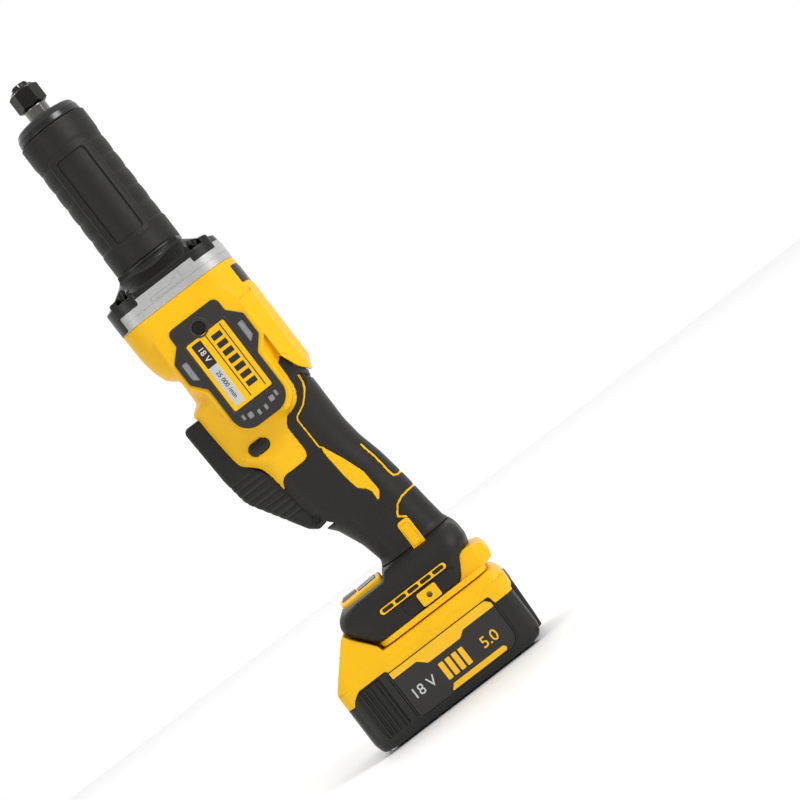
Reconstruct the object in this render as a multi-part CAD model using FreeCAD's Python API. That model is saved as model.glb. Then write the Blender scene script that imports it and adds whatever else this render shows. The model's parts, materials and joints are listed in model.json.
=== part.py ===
import FreeCAD, Part
import math
import os
from FreeCAD import Vector

# Cordless die grinder, in millimetres. Z is the spindle axis, pointing at the collet, and
# Z = 0 is the flat underside of the battery pack that the tool stands on. The paddle is on
# the -X side and the back of the handle on the +X side. Left is -Y, right is +Y, and the
# outside is symmetric about Y = 0.
#
# A section is (z, x_min, x_max, half_width, corner_radius): a rounded rectangle across Z.

# ---------------------------------------------------------------- driving dimensions
WALL = 2.5                # plastic wall of the clamshell halves
SKIN = 1.0                # soft overmould on top of the clamshell
PANEL_FACE = 37.2         # outer face of the side panels, from the middle plane
PANEL_SEAT = 35.8         # flat raised seat under them
NAMEPLATE_Y = (36.4, 36.9)
SLIP = 0.05               # radial gap of a running fit
GAP = 0.3                 # gap between neighbouring mouldings that move apart

SHANK_RADIUS = 3.0        # 6 mm burr shank
COLLET_TIP_Z = 437.0
COLLET_BASE_Z = 413.2
COLLET_RADIUS = 5.22
NUT_ACROSS_FLATS = 17.0
NUT_Z = (421.4, 434.4)
THREAD_RADIUS = 6.5
COLLAR_RADIUS = 7.25
COLLAR_Z = (402.0, 421.2)
SPINDLE_TOP_Z = 428.4
SPINDLE_END_Z = 297.5
SPINDLE_RADIUS = 5.8

CAP_Z = (404.4, 413.0)    # nose cap in front of the nose grip
CAP_RADII = (21.2, 18.5)
GRIP_Z = (310.9, 404.2)   # rubber nose grip
GRIP_RADIUS = 21.9
TUBE_RADIUS = 18.4        # nose tube under the grip
FRONT_SEAT_Z = (394.0, 402.0)
REAR_SEAT_Z = (306.0, 313.0)

PLATE_Z = (281.0, 293.5)  # aluminium adapter between nose and motor housing
BOLT_OFFSET = 26.0        # the four long screws sit at (+-26, +-26)
BOLT_RADIUS = 2.0
SKIRT_HALF = 18.0         # nose housing skirt over the adapter plate, half width
SKIRT_X = -35.4
# Rotation arrow engraved in both sides of the adapter plate, as (x, z) corners.
ARROW_LINE = [(2.6, 288.6), (-12.5, 288.6), (-12.5, 286.4), (9.3, 286.4), (9.3, 292.0), (2.6, 288.6)]

STATOR_RADIUS = 26.0
STATOR_Z = (232.0, 262.0)
COIL_Z = (226.5, 267.5)
ROTOR_RADIUS = 13.5
ROTOR_Z = (231.0, 263.0)
SHAFT_RADIUS = 4.0
SHAFT_Z = (192.5, 297.2)
FAN_Z = (205.0, 214.0)
FAN_RADIUS = 20.0
MOTOR_FRONT_SEAT_Z = (282.5, 289.5)
MOTOR_REAR_SEAT_Z = (195.5, 202.5)
LEAD_X = 24.5             # the three motor leads run straight up the handle here
LEAD_RADIUS = 1.4

PADDLE_HALF = 14.6        # half width of the paddle
PIVOT = (-15.0, 131.5)    # paddle pin, (x, z)
PADDLE_SWEEP_X = -21.7    # the squeezed paddle stays on the -X side of this
PLUNGER_Z = 165.0
LOCK = (-15.5, 184.4)     # centre of the cross-bolt lock button, (x, z)
LOCK_SIZE = (12.5, 7.1)   # along X and Z
LOCK_TRAVEL = 4.0

POCKET_HALF = 27.4        # battery slot in the foot
RAIL_HALF = 22.4          # half opening between the two rails
RAIL_TOP_Z = 55.6
LIP_Z = 60.3              # underside of the catch lip at the open end of the slot
POCKET_TOP_Z = 64.5
FOOT_FLOOR_Z = 68.0       # floor of the electronics bay
BLADE_PITCH = 8.0
BLADE_COUNT = 5

PACK_HALF = 37.5
PACK_SPLIT_Z = 33.5
PACK_DECK_Z = 49.6
PACK_WALL = 2.2
CELL_RADIUS = 9.2
CELL_LENGTH = 65.0
CELL_PITCH = 19.0
CELL_COLUMNS = 5
PACK_POST = 3.3           # radius of the screw posts in the pack corners
PACK_POST_Z = 31.5        # top of the lower posts, just under the upper ones

# Clamshell, from the adapter plate down the motor barrel and the handle into the foot.
BODY_SECTIONS = [
    (281.0, -39.4, 38.0, 36.0, 18.0),
    (263.0, -39.4, 38.6, 36.0, 17.0),
    (250.0, -36.5, 38.9, 36.0, 16.0),
    (242.5, -29.5, 39.0, 35.5, 14.0),
    (225.0, -29.0, 39.0, 34.0, 14.0),
    (219.8, -36.0, 39.0, 32.5, 13.0),
    (211.0, -35.0, 38.8, 30.0, 13.0),
    (203.0, -34.8, 31.6, 26.5, 12.0),
    (185.0, -34.6, 31.5, 23.0, 11.0),
    (178.0, -30.8, 31.6, 21.5, 10.5),
    (168.0, -26.0, 31.8, 20.0, 10.0),
    (150.0, -24.5, 34.8, 19.0, 10.0),
    (132.0, -21.5, 38.2, 18.5, 10.0),
    (118.0, -9.0, 40.3, 18.5, 10.0),
    (103.0, -2.5, 41.9, 18.5, 10.0),
    (90.0, 0.5, 43.3, 19.0, 10.0),
    (78.0, -3.0, 44.5, 20.0, 10.0),
]
FOOT_SECTIONS = [
    (83.2, -31.0, 41.0, 25.0, 9.0),
    (80.5, -35.8, 46.0, 30.0, 10.0),
    (76.0, -39.8, 46.6, 33.0, 11.0),
    (71.0, -41.2, 46.6, 34.0, 12.0),
    (67.0, -40.0, 43.5, 34.0, 12.0),
    (60.0, -34.8, 37.0, 34.0, 10.0),
    (53.2, -28.6, 30.0, 34.0, 8.0),
    (50.0, -28.6, 30.0, 34.0, 8.0),
]
TAIL_SECTIONS = [
    (50.0, 10.0, 54.4, 31.0, 10.0),
    (62.0, 10.0, 54.4, 31.0, 10.0),
    (67.0, 10.0, 48.0, 27.0, 8.0),
]
BAY_SECTIONS = [
    (68.0, -34.0, 42.0, 31.0, 9.0),
    (76.0, -36.5, 43.5, 30.0, 9.0),
    (80.6, -31.0, 43.0, 24.0, 8.0),
]
FLANGE_SECTIONS = [
    (293.5, -39.4, 38.0, 36.0, 18.0),
    (298.0, -38.8, 37.4, 35.4, 18.0),
    (301.0, -32.0, 31.5, 30.5, 19.0),
    (304.5, -26.0, 25.5, 25.5, 21.0),
    (308.5, -22.0, 22.0, 22.0, 21.5),
]
PACK_LOWER_SECTIONS = [
    (0.0, -60.0, 46.0, 33.0, 8.0),
    (2.5, -64.5, 50.0, 35.8, 10.0),
    (8.0, -67.0, 52.6, 37.5, 11.0),
    (PACK_SPLIT_Z, -67.2, 53.0, 37.5, 11.0),
]
PACK_UPPER_SECTIONS = [
    (PACK_SPLIT_Z, -67.2, 53.0, 37.5, 11.0),
    (43.5, -67.2, 53.0, 37.5, 11.0),
    (PACK_DECK_Z, -63.0, 50.5, 34.5, 9.0),
]

# Outlines in the XZ plane, as (x, z, corner_radius).
PANEL_OUTLINE = [
    (-17.6, 194.0, 11.0), (17.6, 194.0, 11.0), (17.6, 227.3, 2.0), (24.6, 235.6, 2.0),
    (24.6, 250.2, 2.0), (17.3, 257.8, 2.0), (17.3, 267.2, 4.0), (-17.3, 267.2, 4.0),
    (-17.3, 257.8, 2.0), (-24.6, 250.2, 2.0), (-24.6, 235.6, 2.0), (-17.6, 227.3, 2.0),
]
SEAT_OUTLINE = [
    (-20.4, 190.6, 12.0), (20.4, 190.6, 12.0), (20.4, 226.0, 3.0), (27.0, 234.0, 3.0),
    (27.0, 268.0, 3.0), (-27.0, 268.0, 3.0), (-27.0, 234.0, 3.0), (-20.4, 226.0, 3.0),
]
NAMEPLATE_OUTLINE = [
    (-13.4, 208.0, 1.5), (13.4, 208.0, 1.5), (13.4, 254.5, 1.5), (-13.4, 254.5, 1.5),
]
GRIP_OUTLINE = [
    (26.2, 218.2, 0.0), (31.5, 204.0, 6.0), (60.0, 203.5, 0.0), (60.0, 84.5, 0.0),
    (-40.0, 84.5, 0.0), (-40.0, 122.0, 0.0), (-13.0, 122.5, 0.0), (-17.5, 162.0, 6.0),
    (4.9, 162.0, 4.0), (4.9, 187.0, 6.0), (22.6, 196.0, 9.0), (23.1, 215.9, 1.0),
]
PADDLE_OUTLINE = [
    (-27.5, 218.4, 0.0), (-45.8, 218.4, 4.0), (-44.4, 181.0, 6.0), (-42.0, 163.0, 20.0),
    (-22.0, 129.5, 6.0), (-17.0, 125.5, 3.0), (-9.0, 127.0, 3.0), (-11.0, 140.0, 2.0),
    (-17.0, 150.0, 3.0), (-19.5, 168.0, 3.0), (-27.5, 180.0, 3.0),
]
PADDLE_HOLLOW = [
    (-10.0, 216.0, 0.0), (-43.3, 216.0, 2.5), (-41.9, 181.0, 5.0), (-39.6, 164.0, 17.0),
    (-25.5, 139.0, 2.0), (-4.0, 139.0, 0.0),
]
PADDLE_OPENING = [
    (-60.0, 222.2, 0.0), (-31.0, 219.8, 0.0), (-26.0, 182.0, 2.0), (-17.0, 170.0, 2.0),
    (-14.5, 150.0, 2.0), (-7.0, 141.0, 2.0), (-4.0, 131.0, 2.0), (-6.0, 123.2, 0.0),
    (-60.0, 123.2, 0.0),
]
PACK_NOSE = [
    (-67.2, 43.5, 0.0), (-45.6, 68.2, 1.5), (-43.4, 69.4, 0.4), (-40.9, 65.4, 0.0),
    (-33.8, 56.9, 0.0), (-29.8, 52.4, 0.0), (-29.8, 44.0, 0.0), (-66.0, 41.0, 0.0),
]
NOSE_HOLLOW = [
    (-63.0, 45.6, 0.0), (-46.4, 64.2, 1.0), (-43.2, 64.2, 1.0), (-36.0, 55.9, 0.0),
    (-32.0, 51.6, 0.0), (-32.0, 45.6, 0.0),
]


# ---------------------------------------------------------------- shape helpers
def block(x_min, x_max, y_min, y_max, z_min, z_max):
    size = (x_max - x_min, y_max - y_min, z_max - z_min)
    return Part.makeBox(*size, Vector(x_min, y_min, z_min))


def rod_z(radius, z_min, z_max, x=0.0, y=0.0):
    return Part.makeCylinder(radius, z_max - z_min, Vector(x, y, z_min), Vector(0, 0, 1))


def rod_y(radius, y_min, y_max, x, z):
    return Part.makeCylinder(radius, y_max - y_min, Vector(x, y_min, z), Vector(0, 1, 0))


def rod_x(radius, x_min, x_max, y, z):
    return Part.makeCylinder(radius, x_max - x_min, Vector(x_min, y, z), Vector(1, 0, 0))


def ring_z(inner, outer, z_min, z_max):
    return rod_z(outer, z_min, z_max).cut(rod_z(inner, z_min - 1, z_max + 1))


def revolved(profile):
    """Solid of revolution about Z of a closed (radius, z) profile."""
    corners = [Vector(radius, 0, z) for radius, z in profile]
    face = Part.Face(Part.makePolygon(corners + corners[:1]))
    return face.revolve(Vector(0, 0, 0), Vector(0, 0, 1), 360)


def outline_wire(outline, y):
    """Closed wire in the plane Y = y through (x, z, radius) corners, each rounded."""
    corners = [Vector(x, y, z) for x, z, radius in outline]
    count = len(corners)
    rounds = []
    for i in range(count):
        radius = outline[i][2]
        here = corners[i]
        back = (corners[i - 1] - here).normalize()
        ahead = (corners[(i + 1) % count] - here).normalize()
        half_angle = 0.5 * back.getAngle(ahead)
        reach = radius / math.tan(half_angle)
        inward = (back + ahead).normalize()
        middle = here + inward * (radius / math.sin(half_angle) - radius)
        rounds.append((here + back * reach, middle, here + ahead * reach))
    edges = []
    for i in range(count):
        if outline[i][2] > 0:
            edges.append(Part.Arc(*rounds[i]).toShape())
        edges.append(Part.makeLine(rounds[i][2], rounds[(i + 1) % count][0]))
    return Part.Wire(edges)


def prism_y(outline, y_min, y_max):
    face = Part.Face(outline_wire(outline, y_min))
    return face.extrude(Vector(0, y_max - y_min, 0))


def stadium_y(x_min, x_max, z_min, z_max, y_min, y_max):
    """Round-ended slot or key that runs along Y."""
    radius = 0.499 * min(x_max - x_min, z_max - z_min)
    outline = [(x_min, z_min, radius), (x_max, z_min, radius),
               (x_max, z_max, radius), (x_min, z_max, radius)]
    return prism_y(outline, y_min, y_max)


def section_wire(section, grow):
    z, x_min, x_max, half_width, corner = section
    x0 = x_min - grow
    x1 = x_max + grow
    y1 = half_width + grow
    r = min(corner + grow, 0.98 * y1, 0.49 * (x1 - x0))
    k = r * (1 - math.sqrt(0.5))
    line = Part.makeLine
    edges = [
        line(Vector(x0 + r, -y1, z), Vector(x1 - r, -y1, z)),
        Part.Arc(Vector(x1 - r, -y1, z), Vector(x1 - k, k - y1, z), Vector(x1, r - y1, z)).toShape(),
        line(Vector(x1, r - y1, z), Vector(x1, y1 - r, z)),
        Part.Arc(Vector(x1, y1 - r, z), Vector(x1 - k, y1 - k, z), Vector(x1 - r, y1, z)).toShape(),
        line(Vector(x1 - r, y1, z), Vector(x0 + r, y1, z)),
        Part.Arc(Vector(x0 + r, y1, z), Vector(x0 + k, y1 - k, z), Vector(x0, y1 - r, z)).toShape(),
        line(Vector(x0, y1 - r, z), Vector(x0, r - y1, z)),
        Part.Arc(Vector(x0, r - y1, z), Vector(x0 + k, k - y1, z), Vector(x0 + r, -y1, z)).toShape(),
    ]
    return Part.Wire(edges)


def stack(sections, grow=0.0):
    """Solid through a list of sections, with every section grown outwards by `grow`."""
    return Part.makeLoft([section_wire(s, grow) for s in sections], True, True)


def groove_y(x0, z0, x1, z1, width, y_min):
    """Cutter for a straight groove on the right side face, from one (x, z) to another."""
    length = math.hypot(x1 - x0, z1 - z0)
    bar = Part.makeBox(length + width, 6.0, width, Vector(-0.5 * width, y_min, -0.5 * width))
    angle = math.degrees(math.atan2(z1 - z0, x1 - x0))
    bar.rotate(Vector(0, 0, 0), Vector(0, 1, 0), -angle)
    bar.translate(Vector(x0, 0, z0))
    return bar


def mirrored(shape):
    return shape.mirror(Vector(0, 0, 0), Vector(0, 1, 0))


def both_sides(shape):
    return Part.makeCompound([shape, mirrored(shape)])


def spring_coil(radius, wire_radius, pitch, height):
    """Helical wire about Z, standing on Z = 0."""
    path = Part.makeHelix(pitch, height, radius)
    circle = Part.makeCircle(wire_radius, Vector(radius, 0, 0), Vector(0, 1, 0))
    return Part.Wire(path.Edges).makePipeShell([Part.Wire([circle])], True, False)


LEFT = block(-100, 100, -60, 0, -10, 450)
RIGHT = mirrored(LEFT)


# ---------------------------------------------------------------- spindle and collet
def make_collet():
    body = revolved([
        (SHANK_RADIUS, COLLET_BASE_Z), (4.09, COLLET_BASE_Z), (5.13, SPINDLE_TOP_Z),
        (5.75, 428.9), (5.75, 430.2), (COLLET_RADIUS, 431.0), (COLLET_RADIUS, 436.3),
        (COLLET_RADIUS - 0.6, COLLET_TIP_Z), (SHANK_RADIUS + 0.3, COLLET_TIP_Z),
        (SHANK_RADIUS, COLLET_TIP_Z - 0.3),
    ])
    slot_half = 0.4
    slot_base_z = 419.0
    slots = block(-8, 8, -slot_half, slot_half, slot_base_z, 440)
    slots = slots.fuse(block(-slot_half, slot_half, -8, 8, slot_base_z, 440))
    return body.cut(slots)


def make_collet_nut():
    corner_radius = NUT_ACROSS_FLATS / math.sqrt(3)
    low, high = NUT_Z
    corners = [Vector(corner_radius * math.cos(math.radians(60 * i)),
                      corner_radius * math.sin(math.radians(60 * i)), low) for i in range(7)]
    prism = Part.Face(Part.makePolygon(corners)).extrude(Vector(0, 0, high - low))
    chamfer = revolved([
        (0, low), (8.1, low), (10.0, low + 1.1), (10.0, high - 2.2), (8.0, high - 1.1),
        (7.2, high), (0, high),
    ])
    bore = revolved([
        (0, low - 1), (THREAD_RADIUS + 0.5, low - 1), (THREAD_RADIUS + 0.5, low + 0.3),
        (THREAD_RADIUS + 0.1, low + 0.7), (THREAD_RADIUS + 0.1, 429.6), (5.85, 430.3),
        (COLLET_RADIUS + 0.08, 431.15), (COLLET_RADIUS + 0.08, high + 1), (0, high + 1),
    ])
    return prism.common(chamfer).cut(bore)


def make_spindle():
    low, high = COLLAR_Z
    body = revolved([
        (0, SPINDLE_END_Z), (SHAFT_RADIUS, SPINDLE_END_Z), (SHAFT_RADIUS, REAR_SEAT_Z[1]),
        (SPINDLE_RADIUS, REAR_SEAT_Z[1]), (SPINDLE_RADIUS, 393.5), (6.0, FRONT_SEAT_Z[0]),
        (6.0, low), (COLLAR_RADIUS, low), (COLLAR_RADIUS, high - 0.4),
        (COLLAR_RADIUS - 0.4, high), (THREAD_RADIUS - 0.7, high), (THREAD_RADIUS, high + 0.9),
        (THREAD_RADIUS, SPINDLE_TOP_Z - 0.5), (THREAD_RADIUS - 0.5, SPINDLE_TOP_Z),
        (0, SPINDLE_TOP_Z),
    ])
    socket = revolved([
        (0, 384.0), (SHANK_RADIUS + 0.2, 386.0), (SHANK_RADIUS + 0.2, 412.6),
        (4.1, 412.6), (4.14, COLLET_BASE_Z), (5.18, SPINDLE_TOP_Z), (5.18, SPINDLE_TOP_Z + 1),
        (0, SPINDLE_TOP_Z + 1),
    ])
    flat_y = 6.3
    flats = both_sides(block(-10, 10, flat_y, 10, high - 7.6, high - 1.0))
    return body.cut(socket).cut(flats)


def make_shaft_coupling():
    radius = 8.0
    low, high = 290.2, 303.8
    bevel = 0.8
    body = revolved([
        (SHAFT_RADIUS, low), (radius - bevel, low), (radius, low + bevel),
        (radius, high - bevel), (radius - bevel, high), (SHAFT_RADIUS, high),
    ])
    return body


def bearing(bore, outside, seat, ball_radius, count):
    """Outer race, inner race and balls of one deep-groove ball bearing."""
    low, high = seat
    pitch_radius = 0.5 * (bore + outside)
    middle = 0.5 * (low + high)
    race = 0.3 * (outside - bore)
    groove = Part.makeTorus(pitch_radius, ball_radius + SLIP, Vector(0, 0, middle))
    outer = ring_z(outside - race, outside, low, high).cut(groove)
    inner = ring_z(bore, bore + race, low, high).cut(groove)
    balls = []
    for i in range(count):
        angle = 2 * math.pi * i / count
        centre = Vector(pitch_radius * math.cos(angle), pitch_radius * math.sin(angle), middle)
        balls.append(Part.makeSphere(ball_radius, centre))
    return outer, inner, balls


def make_bearings():
    seats = [
        bearing(6.0, 14.0, FRONT_SEAT_Z, 2.35, 8),
        bearing(SHAFT_RADIUS, 11.0, REAR_SEAT_Z, 1.95, 7),
        bearing(SHAFT_RADIUS, 11.0, MOTOR_FRONT_SEAT_Z, 1.95, 7),
        bearing(SHAFT_RADIUS, 11.0, MOTOR_REAR_SEAT_Z, 1.95, 7),
    ]
    outer = Part.makeCompound([seat[0] for seat in seats])
    inner = Part.makeCompound([seat[1] for seat in seats])
    balls = Part.makeCompound([ball for seat in seats for ball in seat[2]])
    return outer, inner, balls


# ---------------------------------------------------------------- nose
def bolt_places():
    return [(sx * BOLT_OFFSET, sy * BOLT_OFFSET) for sx in (-1, 1) for sy in (-1, 1)]


def make_nose_housing():
    tube = rod_z(TUBE_RADIUS, 300, GRIP_Z[1])
    neck = revolved([
        (0, 300), (22.0, 300), (22.0, 302.6), (21.4, 303.4), (22.0, 304.2), (22.0, 307.6),
        (21.4, 308.4), (22.0, 309.2), (21.6, GRIP_Z[0]), (0, GRIP_Z[0]),
    ])
    body = stack(FLANGE_SECTIONS).fuse([tube, neck])
    skirt = block(-39.4, SKIRT_X, -SKIRT_HALF, SKIRT_HALF, PLATE_Z[0] + GAP, 294.5)
    bosses = [rod_z(6.5, PLATE_Z[1], 300.2, x, y) for x, y in bolt_places()]
    body = body.fuse([skirt] + bosses)
    holes = [
        rod_z(14.0, FRONT_SEAT_Z[0], GRIP_Z[1] + 1),
        rod_z(12.2, REAR_SEAT_Z[1], FRONT_SEAT_Z[0]),
        rod_z(11.0, REAR_SEAT_Z[0], REAR_SEAT_Z[1]),
        rod_z(11.6, PLATE_Z[1] - 1, REAR_SEAT_Z[0]),
    ]
    for x, y in bolt_places():
        holes.append(rod_z(3.8, 296.5, 310, x, y))
        holes.append(rod_z(BOLT_RADIUS + 0.15, PLATE_Z[1] - 1, 297, x, y))
    return body.cut(holes)


def make_nose_cap():
    low, high = CAP_Z
    rear, front = CAP_RADII
    shell = revolved([
        (8.0, low), (rear - 0.5, low), (rear, low + 0.6), (rear - 0.6, low + 4.4),
        (front + 0.9, high - 1.2), (front - 0.6, high), (8.6, high), (8.0, high - 0.6),
    ])
    hub = ring_z(10.0, 13.9, FRONT_SEAT_Z[1], low)
    return shell.fuse(hub)


def make_nose_grip():
    """Rubber sleeve: plain bands at both ends, rounded ribs between, a framed pad each side."""
    low, high = GRIP_Z
    inner = TUBE_RADIUS
    band_rear_z = 327.0
    band_front_z = 390.0
    rib_count = 5
    rib_height = 0.8
    pitch = (band_front_z - band_rear_z) / rib_count
    root = GRIP_RADIUS - rib_height
    points = [(inner, high), (inner, low), (GRIP_RADIUS - 0.6, low), (GRIP_RADIUS, low + 0.6),
              (GRIP_RADIUS, band_rear_z - 0.6), (root, band_rear_z)]
    vectors = [Vector(r, 0, z) for r, z in points]
    edges = [Part.makeLine(a, b) for a, b in zip(vectors, vectors[1:])]
    here = vectors[-1]
    for i in range(rib_count):
        top = band_rear_z + pitch * (i + 1)
        crest = Vector(GRIP_RADIUS, 0, top - 0.5 * pitch)
        end = Vector(root, 0, top)
        edges.append(Part.Arc(here, crest, end).toShape())
        here = end
    tail = [Vector(GRIP_RADIUS, 0, band_front_z + 0.6), Vector(GRIP_RADIUS, 0, high - 0.6),
            Vector(GRIP_RADIUS - 0.6, 0, high), vectors[0]]
    for point in tail:
        edges.append(Part.makeLine(here, point))
        here = point
    sleeve = Part.Face(Part.Wire(edges)).revolve(Vector(0, 0, 0), Vector(0, 0, 1), 360)
    frame = [(-12.0, 322.0, 3.0), (12.0, 322.0, 3.0), (12.0, 389.0, 3.0), (-12.0, 389.0, 3.0)]
    recess = [(-9.7, 325.8, 2.0), (9.7, 325.8, 2.0), (9.7, 384.0, 2.0), (-9.7, 384.0, 2.0)]
    pad = prism_y(frame, 10, 40).common(ring_z(inner, GRIP_RADIUS + 0.5, low, high))
    dent = prism_y(recess, 10, 40).cut(rod_z(GRIP_RADIUS - 0.6, low, high))
    return sleeve.fuse([pad, mirrored(pad)]).cut([dent, mirrored(dent)])


def make_retaining_ring():
    low = REAR_SEAT_Z[0] - 1.4
    ring = ring_z(9.6, 11.6, low, REAR_SEAT_Z[0])
    return ring.cut(block(0, 20, -3, 3, low - 1, REAR_SEAT_Z[0] + 1))


def make_adapter_plate():
    low, high = PLATE_Z
    sides = FLANGE_SECTIONS[0][1:]
    body = stack([(low,) + sides, (high,) + sides])
    notch = block(-45, SKIRT_X + GAP, -SKIRT_HALF - GAP, SKIRT_HALF + GAP, low - 1, high + 1)
    holes = [
        notch,
        rod_z(11.0, low - 1, MOTOR_FRONT_SEAT_Z[1]),
        rod_z(8.6, low, high + 1),
    ]
    holes += [rod_z(BOLT_RADIUS + 0.15, low - 1, high + 1, x, y) for x, y in bolt_places()]
    parting = stack([(285.3,) + sides, (285.7,) + sides], 1.0)
    holes.append(parting.cut(stack([(285.3,) + sides, (285.7,) + sides], -0.3)))
    for (x0, z0), (x1, z1) in zip(ARROW_LINE, ARROW_LINE[1:]):
        stroke = groove_y(x0, z0, x1, z1, 0.4, 35.7)
        holes += [stroke, mirrored(stroke)]
    return body.cut(holes)


def make_flange_screws():
    screws = []
    for x, y in bolt_places():
        head = rod_z(3.4, 296.5, 300.0, x, y)
        socket = Part.makeCylinder(1.5, 2.2, Vector(x, y, 297.9))
        shank = rod_z(BOLT_RADIUS, 262.0, 297.0, x, y)
        screws.append(head.fuse(shank).cut(socket))
    return Part.makeCompound(screws)


# ---------------------------------------------------------------- motor
def make_motor_shaft():
    return rod_z(SHAFT_RADIUS, *SHAFT_Z)


def make_stator_core():
    low, high = STATOR_Z
    yoke = ring_z(21.0, STATOR_RADIUS, low, high)
    tooth = block(14.6, 21.5, -3.4, 3.4, low, high)
    shoe = ring_z(14.0, 15.6, low, high).common(block(10, 20, -5.6, 5.6, low, high))
    tooth = tooth.fuse(shoe)
    teeth = []
    for i in range(6):
        copy = tooth.copy()
        copy.rotate(Vector(0, 0, 0), Vector(0, 0, 1), 60 * i)
        teeth.append(copy)
    return yoke.fuse(teeth)


def make_stator_coils():
    low, high = COIL_Z
    window = block(10, 25, -3.4, 3.4, *STATOR_Z)
    coil = block(15.8, 19.9, -6.3, 6.3, low, high).cut(window)
    coils = []
    for i in range(6):
        copy = coil.copy()
        copy.rotate(Vector(0, 0, 0), Vector(0, 0, 1), 60 * i)
        coils.append(copy)
    return Part.makeCompound(coils)


def make_stator_end_ring():
    low, high = 224.0, STATOR_Z[0]
    return ring_z(21.4, STATOR_RADIUS, low, high)


def make_rotor_core():
    return ring_z(SHAFT_RADIUS, ROTOR_RADIUS - 2.5, *ROTOR_Z)


def make_rotor_magnets():
    low, high = ROTOR_Z
    ring = ring_z(ROTOR_RADIUS - 2.5, ROTOR_RADIUS, low + 1, high - 1)
    gap_half = 0.8
    gaps = [block(-20, 20, -gap_half, gap_half, low, high),
            block(-gap_half, gap_half, -20, 20, low, high)]
    return ring.cut(gaps)


def make_cooling_fan():
    low, high = FAN_Z
    disc_z = high - 1.4
    hub = ring_z(SHAFT_RADIUS, 8.0, low, high)
    disc = ring_z(7.5, FAN_RADIUS, disc_z, high)
    blades = []
    blade_count = 11
    for i in range(blade_count):
        blade = block(7.0, FAN_RADIUS - 0.5, -0.6, 0.6, low + 0.5, disc_z + 0.5)
        blade.rotate(Vector(7.5, 0, 0), Vector(0, 0, 1), 25)
        blade.rotate(Vector(0, 0, 0), Vector(0, 0, 1), 360 * i / blade_count)
        blades.append(blade.common(ring_z(7.5, FAN_RADIUS, low, high)))
    return hub.fuse([disc] + blades)


def make_fan_baffle():
    low, high = 216.0, 218.0
    plate = stack(BODY_SECTIONS, -WALL - GAP).common(block(-60, 60, -60, 60, low, high))
    holes = [
        rod_z(16.5, low - 1, high + 1),
        block(LEAD_X - 2.2, 60, -8, 8, low - 1, high + 1),
        block(-60, PADDLE_SWEEP_X, -60, 60, low - 1, high + 1),
    ]
    return plate.cut(holes)


def make_leads():
    """Three motor leads up the handle and two short supply leads above the terminal block."""
    leads = [rod_z(LEAD_RADIUS, 73.6, 224.0, LEAD_X, y) for y in (-5, 0, 5)]
    leads += [rod_z(1.6, POCKET_TOP_Z, 72.0, 34.0, y) for y in (-6, 6)]
    return Part.makeCompound(leads)


# ---------------------------------------------------------------- clamshell
# Clamshell screws enter from the right side, at (x, z) places along the handle.
CLAMSHELL_SCREWS = [(13.0, 189.0), (14.0, 150.0), (14.0, 122.0), (9.0, 98.0), (31.0, 97.0)]
PANEL_SCREW = (-0.8, 258.7)


def width_at(z):
    """Half width of the clamshell at a height."""
    for upper, lower in zip(BODY_SECTIONS, BODY_SECTIONS[1:]):
        if lower[0] <= z <= upper[0]:
            share = (z - lower[0]) / (upper[0] - lower[0])
            return lower[3] + share * (upper[3] - lower[3])


def make_body():
    """Motor barrel and handle, with the flat seats of the side panels."""
    seat = prism_y(SEAT_OUTLINE, -PANEL_SEAT, PANEL_SEAT)
    return stack(BODY_SECTIONS).fuse(seat)


def make_clamshell_cavity():
    """Everything that is hollow inside the two halves, with ribs and bosses left standing."""
    cavity = stack(BODY_SECTIONS, -WALL)
    bay = stack(BAY_SECTIONS)
    cavity = cavity.fuse(bay)
    ribs = []
    for low in (233.5, 257.5):
        rib = block(-60, 60, -60, 60, low, low + 3).cut(rod_z(STATOR_RADIUS, low - 1, low + 4))
        ribs.append(rib)
    carrier = block(-60, 60, -60, 60, 193.5, 203.5).cut([
        rod_z(11.0, MOTOR_REAR_SEAT_Z[0], 204),
        rod_z(6.0, 193, 196),
        block(LEAD_X - 2.2, LEAD_X + 2.2, -7, 7, 193, 204),
        block(-60, PADDLE_SWEEP_X, -60, 60, 193, 204),
    ])
    bosses = [rod_z(6.8, 261.5, 281, x, y) for x, y in bolt_places()]
    bosses += [rod_y(3.6, -60, 60, x, z) for x, z in CLAMSHELL_SCREWS]
    x, z = PANEL_SCREW
    bosses += [rod_y(4.5, 29.0, 40, x, z), rod_y(4.5, -40, -29.0, x, z)]
    below_bay = block(-100, 100, -60, 60, 0, FOOT_FLOOR_Z)
    return cavity.cut(ribs + [carrier] + bosses + [below_bay])


def make_battery_slot():
    """T-slot in the foot, open at the -X end, with a low lip there notched for the latch tooth."""
    stop_x = 38.2
    upper = block(-30.4, stop_x, -POCKET_HALF, POCKET_HALF, RAIL_TOP_Z, POCKET_TOP_Z)
    mouth = block(-60, stop_x, -POCKET_HALF, POCKET_HALF, RAIL_TOP_Z, LIP_Z)
    neck = block(-60, stop_x, -RAIL_HALF, RAIL_HALF, 40, RAIL_TOP_Z + 1)
    notch = block(-60, -30.0, -8.6, 8.6, RAIL_TOP_Z, POCKET_TOP_Z)
    return upper.fuse([mouth, neck, notch])


def make_side_vents():
    """Air slots through the side panels and the clamshell, on the left side."""
    vents = []
    for x_min, x_max in ((18.4, 21.4), (-21.4, -18.4)):
        vents.append(block(x_min, x_max, -45, -26, 234.0, 247.0))
    slot_count = 6
    slot_pitch = 4.8
    for i in range(slot_count):
        x = (i - 0.5 * (slot_count - 1)) * slot_pitch
        z = 198.6 + 0.03 * x ** 2
        vents.append(stadium_y(x - 1.5, x + 1.5, z - 1.0, z + 1.0, -45, -PANEL_SEAT + 1.5))
    return Part.makeCompound(vents)


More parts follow.
